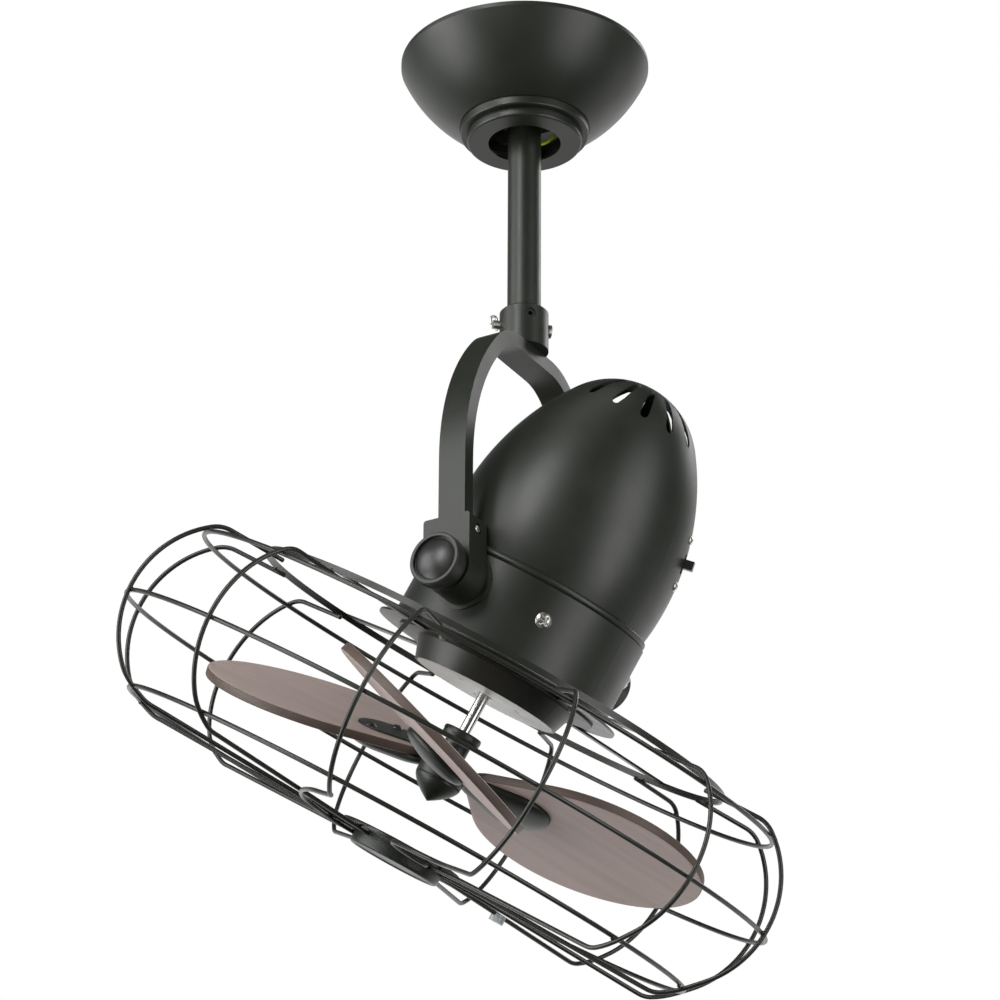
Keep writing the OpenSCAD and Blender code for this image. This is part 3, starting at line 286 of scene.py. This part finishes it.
def sheet_of_quads(name, grids, material, body, stands_for):
    """Joins a stack of grids (piece, row, column, xyz) into one smooth mesh: each cell of rows i, i + 1 and columns j,
    j + 1 is one face, and the last column joins the first. A row drawn in to a point is one vertex."""
    number = np.arange(grids[..., 0].size).reshape(grids.shape[:3])
    pole = np.ptp(grids, axis=2).max(axis=-1) < ONE_POINT
    number[pole] = number[pole][:, :1]
    kept, number = np.unique(number, return_inverse=True)
    number = number.reshape(grids.shape[:3])
    after = np.roll(number, -1, axis=2)
    cells = np.stack([number[:, :-1], after[:, :-1], after[:, 1:], number[:, 1:]], axis=-1).reshape(-1, 4)
    mesh = bpy.data.meshes.new(name)
    mesh.from_pydata(grids.reshape(-1, 3)[kept].tolist(), [], [list(dict.fromkeys(cell)) for cell in cells.tolist()])
    mesh.polygons.foreach_set("use_smooth", [True] * len(mesh.polygons))
    mesh.materials.append(material)
    piece = bpy.data.objects.new(name, mesh)
    scene.collection.objects.link(piece)
    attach(piece, body)
    if stands_for:
        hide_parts(*stands_for)
    return piece


DOME_ROWS, SCREW_TURNS = 22, 48
# The cross, as shares of the head's radius and height: half an arm's width, an arm's reach and the depth
ARM_HALF, ARM_REACH, ARM_DEPTH = 0.13, 0.62, 0.62


def cross_screws(name, seats, outward, node, body, shank, length, head, height, tilted=True):
    """Round-headed screws with a cross recess, in mm: radii of shank and head, length under the head and height of the
    dome. A profile runs from the crown over the dome, a circle's arc through the crown and the head's edge, then under
    the head and down the shank. The crown is sunk where |x| or |y| is small, with sloping walls, as a driver's cross is
    pressed in."""
    r_top = head * np.sqrt(np.linspace(0, 1, DOME_ROWS))
    dome = (head ** 2 + height ** 2) / (2 * height)
    rise = np.sqrt(dome ** 2 - r_top ** 2) - (dome - height)
    radius = np.concatenate([r_top, [head, shank * 1.02, shank, shank * 0.92, 0.0]])
    level = np.concatenate([rise, [-0.02, -0.02, -0.1, 0.3 - length, -length]])
    turn = np.linspace(0, 2 * np.pi, SCREW_TURNS, endpoint=False)
    x, y = radius[:, None] * np.cos(turn), radius[:, None] * np.sin(turn)
    narrow = np.minimum(np.abs(x), np.abs(y)) / (ARM_HALF * head)
    reach = np.hypot(x, y) / (ARM_REACH * head)
    on_dome = (np.arange(len(radius)) < DOME_ROWS)[:, None]
    sunk = np.clip(1.25 - narrow, 0, 1) * np.clip((1.15 - reach) / 0.3, 0, 1) * on_dome
    z = level[:, None] - sunk * ARM_DEPTH * height
    shape = np.stack([x, y, z], axis=-1)
    out = np.asarray(outward, float)
    out /= np.linalg.norm(out, axis=1, keepdims=True)
    # Each cross is turned by one fixed direction, in which no screw points
    side = np.cross(out, (0.31, 0.42, 0.85))
    side /= np.linalg.norm(side, axis=1, keepdims=True)
    basis = np.stack([side, np.cross(out, side), out], axis=1)
    grids = np.einsum("pqk,nkl->npql", shape, basis) + np.asarray(seats, float)[:, None, None, :]
    # Columns run anticlockwise seen from outside and rows run down, so rows are reversed to face outwards
    placed = in_head(grids) if tilted else (grids + (0, 0, PIVOT_Z)) * MM
    return sheet_of_quads(name, placed[:, ::-1], zinc, body, [node])


HOUSING_R = 75.0
clock = np.radians(45 + 90 * np.arange(4))
ways = np.stack([np.cos(clock), np.sin(clock), 0 * clock], axis=1)
cross_screws("housing_screw_set", HOUSING_R * ways, ways, "housing_screws", "head", shank=2.2, length=12, head=5.35,
             height=2.2)

# One cross screw through the side of each clamp block holds the yoke's foot
cross_screws("block_screw_pair", [(15, -86, 27), (15, 86, 27)], [(1, 0, 0), (1, 0, 0)], "block_screws", "hanger",
             shank=1.6, length=7, head=3.3, height=1.6, tilted=False)


# ---- Motor ----
# A capacitor motor in a die-cast frame that fills the shell, seen only through the cooling slots. Its
# ground shaft runs in two ball bearings and comes out below.

# Die-cast aluminium, stamped silicon steel and enamelled copper wire: dull silver, dark blue-grey and red-brown
wear(plated("cast_aluminium", "#8b8c8c", "#b4b5b4", 0.5, 1.5), "motor_frame")
wear(plated("electrical_steel", "#4b4d50", "#5c5e61", 0.5, 0.8), "stator", "rotor_core")
wear(plated("enamelled_copper", "#7a3b15", "#a5551f", 0.35, 0.7), "windings")
# Ground steel: bright enough to mirror the room in long streaks; pressed fibre is matt and speckled
wear(plated("ground_steel", "#aeaeac", "#cfcfcd", 0.22, 5.0), "bearings", "shaft")
wear(coated("fibre_washer", "#3a3833", "#45423b", 0.7, 0.8, 0.2), "friction_washers")


# ---- Slide switch ----
# A small black slide switch behind the shell, held by two round-headed screws. The screws stand
# square to the shell's long arc, 15.5 mm above and below the slider.

wear(moulded, "switch_body", "switch_slider")

SWITCH_ANGLE = math.radians(26)
ARC_R, BELLY_Z, BELLY_R, SWITCH_Z, HALF_PITCH = 167.0, 52.0, 74.5, 81.0, 15.5
lean = math.asin((SWITCH_Z - BELLY_Z) / ARC_R) + np.array([-1, 1]) * math.asin(HALF_PITCH / ARC_R)
way_r, way_z = np.cos(lean), np.sin(lean)
seat_r = BELLY_R - ARC_R + ARC_R * way_r
facing = np.array([math.cos(SWITCH_ANGLE), math.sin(SWITCH_ANGLE)])
ways = np.stack([way_r * facing[0], way_r * facing[1], way_z], axis=1)
seats = np.stack([seat_r * facing[0], seat_r * facing[1], BELLY_Z + ARC_R * way_z], axis=1)
cross_screws("switch_screw_pair", seats, ways, "switch_screws", "head", shank=1.6, length=7, head=3.2, height=1.8)


# ---- Drum and underside plate ----
# A drawn drum under the housing, closed by a steel disc round the shaft in a pale grey coat, held
# by three screws. It takes the light of the floor below it, so it looks nearly white.

wear(powder_coat, "drum")
wear(zinc, "drum_screws")
wear(coated("pale_grey_coat", "#b0b1ad", "#bcbdb9", 0.42, 2.2, 0.15), "underside_plate")


# ---- Wire cage ----
# Twelve bent 3 mm steel wires, welded to three level rings and a band, dipped in satin black.
# Two of the wires curl sideways before they reach the centre disc, as the real ones do.

# A thicker dipped coat than the shell's: a little glossier, and smooth but for slow runs
cage_coat = coated("satin_black_wire_coat", "#11140e", "#181b14", 0.36, 4.0, 0.04)
wear(cage_coat, "cage_plate", "cage_spokes", "cage_band", "cage_ring_top", "cage_ring_middle", "cage_ring_bottom",
     "cage_collar_ring")

# Sizes of a rib in mm: the wire's radius, the band's, the bulge's and the bends'; the levels of its two runs; the
# disc's radius; and the tail inside the band. The bulge's middle lies a little above halfway between the runs.
RIB_N, FIRST_RIB = 12, 21.0
WIRE_R, BAND_R, BULGE, BEND_R, TOP_Z, BOTTOM_Z, DISC_R, TAIL = 1.5, 163.0, 68.3, 20.0, -41.0, -163.5, 31.0, 8.0
LIFT = 3
MID_Z = (TOP_Z + BOTTOM_Z) / 2 + LIFT
reach = BULGE - BEND_R
top_rise, bottom_fall = TOP_Z - BEND_R - MID_Z, MID_Z - BOTTOM_Z - BEND_R
top_x, bottom_x = BAND_R + math.sqrt(reach ** 2 - top_rise ** 2), BAND_R + math.sqrt(reach ** 2 - bottom_fall ** 2)
top_turn, bottom_turn = math.atan2(top_rise, top_x - BAND_R), -math.atan2(bottom_fall, bottom_x - BAND_R)


def bend(centre_x, centre_z, radius, start, end, steps):
    """Points of an arc in a rib's own plane, as distance out, distance sideways and height."""
    a = np.linspace(start, end, steps, endpoint=False)
    return np.stack([centre_x + radius * np.cos(a), 0 * a, centre_z + radius * np.sin(a)], axis=1)


def through(knots, steps):
    """A smooth curve through knots: on each span the cubic whose end slopes are half the chord between the
    neighbouring knots."""
    knots = np.asarray(knots, float)
    padded = np.concatenate([2 * knots[:1] - knots[1:2], knots, 2 * knots[-1:] - knots[-2:-1]])
    t = np.linspace(0, len(knots) - 1, steps)
    k = np.minimum(t.astype(int), len(knots) - 2)
    f = (t - k)[:, None]
    p0, p1, p2, p3 = (padded[k + n] for n in range(4))
    return p1 + 0.5 * f * (p2 - p0 + f * (2 * p0 - 5 * p1 + 4 * p2 - p3 + f * (3 * (p1 - p2) + p3 - p0)))


TAIL_STEPS, BEND_STEPS, BULGE_STEPS, RUN_STEPS = 8, 10, 34, 40
tail_out = np.linspace(BAND_R - TAIL, top_x, TAIL_STEPS, endpoint=False)
upper = np.concatenate([
    np.stack([tail_out, 0 * tail_out, TOP_Z + 0 * tail_out], axis=1),
    bend(top_x, TOP_Z - BEND_R, BEND_R, math.pi / 2, top_turn, BEND_STEPS),
    bend(BAND_R, MID_Z, BULGE, top_turn, bottom_turn, BULGE_STEPS),
    bend(bottom_x, BOTTOM_Z + BEND_R, BEND_R, bottom_turn, -math.pi / 2, BEND_STEPS)])
# Lower runs, from the last bend in to the disc
straight_run = through([(bottom_x, 0, BOTTOM_Z), (110, 0, BOTTOM_Z), (DISC_R - 1, 0, BOTTOM_Z)], RUN_STEPS)
hairpin_run = through([
    (bottom_x, 0, BOTTOM_Z), (150, -1, BOTTOM_Z), (116, -3, BOTTOM_Z), (89, -15.5, BOTTOM_Z), (66, -22, BOTTOM_Z),
    (58, -17, -164.6), (50, -4, -165), (44, 8, -165), (29, 11, -164)], RUN_STEPS)
curled_run = through([
    (bottom_x, 0, BOTTOM_Z), (166, -10, BOTTOM_Z), (145, -24, BOTTOM_Z), (112, -39, BOTTOM_Z), (80, -50, -163.6),
    (60, -53, -164.6), (43, -48, -165.6), (22, -42, -166), (5, -30, -166)], RUN_STEPS)
bent_runs = {9: curled_run, 10: hairpin_run}
runs = np.stack([bent_runs.get(k, straight_run) for k in range(RIB_N)])
paths = np.concatenate([np.broadcast_to(upper, (RIB_N, *upper.shape)), runs], axis=1)
# The floor of the real cage sits askew: its shoulders hang up to 4 mm low on one side and high on the
# other, eased in below the bottom ring and out towards the disc: by the level and by the distance from the axis
rib_angles = FIRST_RIB + 30.0 * np.arange(RIB_N)
SAG, SAG_SIDE, SAG_FROM_Z, SAG_EASE, SAG_FROM_R, SAG_TO_R = 4.0, 20, -148, 18, 60, 180
askew = SAG * np.cos(np.radians(rib_angles - SAG_SIDE))[:, None]
below = np.clip((SAG_FROM_Z - paths[..., 2]) / SAG_EASE, 0, 1)
away = np.clip((np.hypot(paths[..., 0], paths[..., 1]) - SAG_FROM_R) / (SAG_TO_R - SAG_FROM_R), 0, 1)
sink = askew * below ** 2 * (3 - 2 * below) * away
paths = paths - sink[..., None] * (0, 0, 1)


def wires(paths, radius, sides):
    """Round wires swept along paths (piece, point, xyz): at each point a circle spread over two directions square to
    the path, drawn in over half a radius to a closed round end at both ends."""
    along = np.gradient(paths, axis=1)
    along /= np.linalg.norm(along, axis=2, keepdims=True)
    # The first direction is square to one that no wire runs along
    u = np.cross(along, np.broadcast_to((0.0, 0.8, 0.6), along.shape))
    u /= np.linalg.norm(u, axis=2, keepdims=True)
    v = np.cross(along, u)
    ends = np.concatenate([[0.0, 0.75], np.ones(paths.shape[1]), [0.75, 0.0]])
    pick = np.clip(np.arange(-2, paths.shape[1] + 2), 0, paths.shape[1] - 1)
    slip = np.concatenate([[-0.5, -0.33], np.zeros(paths.shape[1]), [0.33, 0.5]]) * radius
    a = np.linspace(0, 2 * np.pi, sides, endpoint=False)[:, None]
    ring = np.cos(a) * u[:, pick, None, :] + np.sin(a) * v[:, pick, None, :]
    centre = paths[:, pick] + along[:, pick] * slip[None, :, None]
    return centre[:, :, None, :] + radius * ends[None, :, None, None] * ring


def turned(points, angles):
    """Turns each stack of points about the head's axis by its own angle in degrees."""
    a = np.radians(np.asarray(angles, float))
    turns = np.stack([np.cos(a), -np.sin(a), 0 * a, np.sin(a), np.cos(a), 0 * a, 0 * a, 0 * a, 0 * a + 1],
                     axis=1).reshape(-1, 3, 3)
    return np.einsum("n...k,njk->n...j", points, turns)


ribs = turned(wires(paths, WIRE_R, sides=12), rib_angles)
sheet_of_quads("cage_ribs", in_head(ribs), cage_coat, "head",
               ["cage_rib_tops", "cage_rib_sides", "cage_rib_bottoms"])

# Spot welds: a small bead of metal where each rib crosses the three rings, at these turns round the bulge, and the
# band. A bead is an egg, 1.3 mm out and 1.7 mm the other ways.
BEAD_OUT, BEAD_R = 1.3, 1.7
weld_turns = np.array([top_turn - math.radians(0.5), math.radians(-3.7), bottom_turn + math.radians(8.8)])
mid_r = BULGE - WIRE_R
weld_at = np.stack([BAND_R + mid_r * np.cos(weld_turns), 0 * weld_turns, MID_Z + mid_r * np.sin(weld_turns)], axis=1)
weld_at = np.concatenate([weld_at, [[BAND_R, 0, TOP_Z + WIRE_R]]])
BEAD_ROWS, BEAD_SIDES = 7, 10
a, b = np.meshgrid(np.linspace(-math.pi / 2, math.pi / 2, BEAD_ROWS),
                   np.linspace(0, 2 * math.pi, BEAD_SIDES, endpoint=False), indexing="ij")
bead = np.stack([BEAD_OUT * np.cos(a) * np.cos(b), BEAD_R * np.cos(a) * np.sin(b), BEAD_R * np.sin(a)], axis=-1)
beads = turned((weld_at[:, None, None, :] + bead)[None].repeat(RIB_N, axis=0), rib_angles).reshape(-1, *bead.shape)
sheet_of_quads("cage_weld_beads", in_head(beads), cage_coat, "head", [])


# ---- Centre disc and clip ----
# A pressed steel cap over the wires' inner ends: a straight wall, a rolled lip round the underside
# and a shallow sunk face, left bare. A small clear clip sits on one wire.

def lathed(name, profile, material, body, stands_for, sides=128):
    """A profile of (radius, height) from the underside's middle to a last point on the axis, carried round it."""
    profile = np.asarray(profile, float)
    a = np.linspace(0, 2 * np.pi, sides, endpoint=False)
    grid = np.stack([profile[:, :1] * np.cos(a), profile[:, :1] * np.sin(a),
                     np.broadcast_to(profile[:, 1:], (len(profile), sides))], axis=-1)
    return sheet_of_quads(name, in_head(grid[None]), material, body, stands_for)


DISC_TOP, DISC_LOW, LIP, SHOULDER = -160.0, -172.0, 2.2, 1.6
a = np.linspace(-math.pi / 2 - 1.0, 0, 10)
lip = np.stack([DISC_R - LIP + LIP * np.cos(a), DISC_LOW + LIP + LIP * np.sin(a)], axis=1)
a = np.linspace(0, math.pi / 2, 7)
shoulder = np.stack([DISC_R - SHOULDER + SHOULDER * np.cos(a), DISC_TOP - SHOULDER + SHOULDER * np.sin(a)],
                    axis=1)
sunk_face = [(0, DISC_LOW + 1.3), (18, DISC_LOW + 1.25), (24, DISC_LOW + 1.1), (25.4, DISC_LOW + 0.9)]
lathed("centre_disc", [*sunk_face, *lip, *shoulder, (20, DISC_TOP), (0, DISC_TOP)], powder_coat, "head",
       ["cage_disc"])

# Clear polycarbonate from a textured mould: hazy in spots about 1.7 mm across, so that the wire and the room behind
# it show only as tones
HAZE = 600.0
clear = bpy.data.materials.new("clear_moulded_polycarbonate")
clear.use_nodes = True
tree = clear.node_tree
tree.nodes.clear()
place = add(tree, "ShaderNodeTexCoord", {})
haze = add(tree, "ShaderNodeTexNoise", {"Vector": place.outputs["Object"], "Scale": HAZE})
dull = add(tree, "ShaderNodeMapRange", {"Value": haze.outputs[0], "To Min": 0.3, "To Max": 0.4})
shader = add(tree, "ShaderNodeBsdfPrincipled", {"Base Color": linear("#a3a9ab"), "Roughness": dull.outputs[0],
                                                "IOR": 1.58, "Transmission Weight": 0.55})
add(tree, "ShaderNodeOutputMaterial", {"Surface": shader.outputs[0]})
wear(clear, "wire_clip")


# ---- Hub, irons and spinner ----
# A turned steel hub, bored from above for the shaft, clamps on it by two set screws in its collar and
# carries three pressed, domed irons in the same coat. A small cone closes it from below.

# From the underside's middle up the disc, the waist and the collar, then down the bore
hub_profile = [(0, -112), (15, -112), (15.6, -111.4), (15.6, -99), (15, -98.4), (9.2, -97), (8.6, -96), (8.6, -84.6),
               (9.2, -84), (12, -84), (12.6, -83.4), (12.6, -78.6), (12, -78), (3.8, -78), (3.8, -104), (0, -104)]
lathed("hub_collar", hub_profile, powder_coat, "rotor", ["hub"], sides=96)

BLADE_T, BLADE_Z, BLADE_PITCH = 6.0, -100.0, math.radians(-18)
PITCH_COS, PITCH_SIN = math.cos(BLADE_PITCH), math.sin(BLADE_PITCH)
blade_turns = 299.5 + 120.0 * np.arange(3)
OUTER_STEPS, INNER_STEPS = 72, 26


def drop_outline(x1, r1, x2, r2):
    """Two circles on the board's middle line, joined by their common tangents and run anticlockwise: for each point
    its direction, its circle's middle and its circle's radius."""
    slope = math.asin((r2 - r1) / (x2 - x1)) + math.pi / 2
    aim = np.concatenate([np.linspace(-slope, slope, OUTER_STEPS),
                          np.linspace(slope, 2 * math.pi - slope, INNER_STEPS)])
    far_end = np.arange(len(aim)) < OUTER_STEPS
    return aim, np.where(far_end, x2, x1), np.where(far_end, r2, r1)


def pitched(points):
    """Tips points of a level board about its middle line and lowers them to the blades' height."""
    x, y, z = points[..., 0], points[..., 1], points[..., 2]
    return np.stack([x, PITCH_COS * y - PITCH_SIN * z, PITCH_SIN * y + PITCH_COS * z + BLADE_Z], axis=-1)


# Iron: from the dome's lowest point outwards, the depth falls as the cosine of an angle whose sine is the share
# of the way to the edge; a 1.5 mm rim then leads up to the flat face under the board
IRON_H, IRON_RIM = 8.0, 1.5
aim, centre_x, circle_r = drop_outline(25.0, 12.0, 55.0, 24.0)
edge_line = np.stack([centre_x + circle_r * np.cos(aim), circle_r * np.sin(aim), 0 * aim], axis=1)
a = np.linspace(0, math.pi / 2, 14)[:, None, None]
deepest = np.array([50.0, 0.0, 0.0])
dome = deepest + np.sin(a) * (edge_line - deepest) - (0, 0, BLADE_T / 2 + IRON_RIM) - (
    IRON_H - IRON_RIM) * np.cos(a) * (0, 0, 1)
top_face = deepest + np.array([1.0, 0.97, 0.5, 0.0])[:, None, None] * (edge_line - deepest) - (0, 0, BLADE_T / 2)
iron = np.concatenate([dome, top_face])
irons = turned(np.broadcast_to(pitched(iron), (3, *iron.shape)), blade_turns)
sheet_of_quads("domed_irons", in_head(irons), powder_coat, "rotor", ["blade_irons"])

# Cone: its radius is the base radius times one less the depth, as a share of its height, to the power 1.7
CONE_R, CONE_TOP, CONE_H = 15.5, -112.0, 15.0
depth = np.linspace(1, 0, 14)
cone = np.stack([CONE_R * (1 - depth ** 1.7), CONE_TOP - CONE_H * depth], axis=1)
lathed("spinner_cone", [*cone, (CONE_R - 0.5, CONE_TOP + 0.4), (0, CONE_TOP + 0.4)], powder_coat, "rotor",
       ["spinner"], sides=72)


# ---- Blades ----
# Three plywood boards cut to a drop shape with their corners just broken, stained a greyed pinkish
# brown under a thin matt lacquer. The cut edge is given a dark brown colour, painted shade for edges turned from the
# lamps, so it shows as a dark brown line.

BLADE_X1, BLADE_R1, BLADE_X2, BLADE_R2, EDGE = 43.0, 24.0, 112.0, 78.0, 1.1
RIM_ROWS = 10
# Rows of a face, as shares of the way from its middle to its edge
FACE_ROWS = np.array([0.0, 0.5, 0.97])[:, None, None]


def drop_board(x1, r1, x2, r2, thick, edge, level):
    """A flat board on a drop outline: at angle a up its edge, the circle's radius is less by edge times
    (1 - cos a), and each face closes on a point three quarters of the way to the far circle's middle."""
    aim, centre_x, circle_r = drop_outline(x1, r1, x2, r2)
    a = np.linspace(-math.pi / 2, math.pi / 2, RIM_ROWS)
    drawn_in = circle_r - edge * (1 - np.cos(a))[:, None]
    up = (thick / 2 - edge) * np.sign(a) + edge * np.sin(a)
    rim = np.stack([centre_x + drawn_in * np.cos(aim), drawn_in * np.sin(aim),
                    np.broadcast_to(up[:, None], drawn_in.shape)], axis=-1)
    low_face = (x1 * 0.25 + x2 * 0.75, 0.0, -thick / 2) * (1 - FACE_ROWS) + rim[0] * FACE_ROWS
    return np.concatenate([low_face, rim, low_face[::-1] * (1, 1, -1)]) + (0, 0, level)


board = drop_board(BLADE_X1, BLADE_R1, BLADE_X2, BLADE_R2, BLADE_T, EDGE, 0)

wood = bpy.data.materials.new("stained_plywood_under_matt_lacquer")
wood.use_nodes = True
tree = wood.node_tree
tree.nodes.clear()
plan = add(tree, "ShaderNodeUVMap", {}, uv_map="plan")
# Figure about 14 mm wide and 160 mm long; pores about 1.2 mm wide and 12 mm long, coarser than the
# real 0.3 mm so that they show, and up to 0.2 mm deep
PORE_DEPTH = 0.2 * MM
wide = add(tree, "ShaderNodeMapping", {"Vector": plan.outputs[0], "Scale": (6.0, 70.0, 1.0)})
figure = add(tree, "ShaderNodeTexNoise", {"Vector": wide.outputs[0], "Scale": 1.0, "Detail": 4.0, "Distortion": 0.6})
fine = add(tree, "ShaderNodeMapping", {"Vector": plan.outputs[0], "Scale": (80.0, 820.0, 1.0)})
pores = add(tree, "ShaderNodeTexNoise", {"Vector": fine.outputs[0], "Scale": 1.0, "Detail": 3.0})
stain = add(tree, "ShaderNodeMapRange", {"Value": figure.outputs[0], "From Min": 0.32, "From Max": 0.68})
base = add(tree, "ShaderNodeMix", {0: stain.outputs["Result"], 6: linear("#887872"), 7: linear("#958580")},
           data_type="RGBA")
pore = add(tree, "ShaderNodeMapRange", {"Value": pores.outputs[0], "From Min": 0.56, "From Max": 0.74,
                                        "To Max": 0.35})
tone = add(tree, "ShaderNodeMix", {0: pore.outputs["Result"], 6: base.outputs[2], 7: linear("#6c5b52")},
           data_type="RGBA")
dull = add(tree, "ShaderNodeMapRange", {"Value": figure.outputs[0], "To Min": 0.44, "To Max": 0.56})
ripple = add(tree, "ShaderNodeBump", {"Height": pores.outputs[0], "Strength": 0.15, "Distance": PORE_DEPTH})
shader = add(tree, "ShaderNodeBsdfPrincipled", {"Base Color": tone.outputs[2], "Roughness": dull.outputs["Result"],
                                                "Normal": ripple.outputs[0], "IOR": 1.5})
add(tree, "ShaderNodeOutputMaterial", {"Surface": shader.outputs[0]})

# Painted shade: the cut edge's colour is darker and duller than the faces, standing for the shade on edges turned from
# the lamps
cut_edge_painted_shade = coated("plywood_edge_painted_shade", "#3a2d27", "#4a3b33", 0.55, 2.0, 0.2)

# Each board's plan is shifted, as it is cut from another part of the sheet
PLAN_SHIFT = (130.0, 310.0)
for number, angle in enumerate(blade_turns, 1):
    turned_out = turned(pitched(board)[None], [angle])
    piece = sheet_of_quads(f"blade_board_{number}", in_head(turned_out), wood, "rotor", [f"blade_{number}"])
    # Bands of faces, from the middle of one face to that of the other: the middle five are the cut edge, and the
    # bands beside them are the broken corners
    band = np.arange(len(piece.data.polygons)) // board.shape[1]
    from_middle = np.abs(band - (board.shape[0] - 2) / 2)
    # The middle five bands take the edge material, whose dark colour is painted shade
    piece.data.materials.append(cut_edge_painted_shade)
    piece.data.polygons.foreach_set("material_index", (from_middle <= 2).astype(int))
    layer = piece.data.uv_layers.new(name="plan")
    corner = np.zeros(len(piece.data.loops), int)
    piece.data.loops.foreach_get("vertex_index", corner)
    # The first and last row are one vertex each in the mesh, so all but one of their points are passed over
    spare = board.shape[1] - 1
    flat = (board[..., :2].reshape(-1, 2)[spare:-spare] + number * np.array(PLAN_SHIFT)) * MM
    layer.data.foreach_set("uv", flat[corner].ravel())

# A thin black steel plate lies on each root, and three blackened cross screws go through it and the board
PLATE_T = 1.2
plate = drop_board(32.0, 6.0, 56.0, 18.5, PLATE_T, 0.4, BLADE_T / 2 + PLATE_T / 2)
sheet_of_quads("blade_root_plates", in_head(turned(np.broadcast_to(pitched(plate), (3, *plate.shape)), blade_turns)),
               powder_coat, "rotor", [])
places = np.array([(34, 0, BLADE_T / 2 + PLATE_T), (58, 13, BLADE_T / 2 + PLATE_T), (58, -13, BLADE_T / 2 + PLATE_T)])
seats = pitched(places)[None].repeat(3, axis=0)
ways = np.broadcast_to((0.0, -PITCH_SIN, PITCH_COS), seats.shape)
blade_screws = cross_screws(
    "blade_screw_set", turned(seats, blade_turns).reshape(-1, 3), turned(ways, blade_turns).reshape(-1, 3),
    "blade_screws", "rotor", shank=2, length=9.5, head=4, height=2)
# Blackened screws: the driver has rubbed the black off the crowns, so they glint
blade_screws.data.materials[0] = plated("blackened_screw_steel", "#3c3c3a", "#6d6c69", 0.4, 2.0)


# ---- Clamp knobs ----
# Moulded black nylon knobs with a domed face inside a raised rim. They screw on the tilt studs and
# pull the clamp blocks against the housing.

wear(moulded, "clamp_knob_near", "clamp_knob_far")
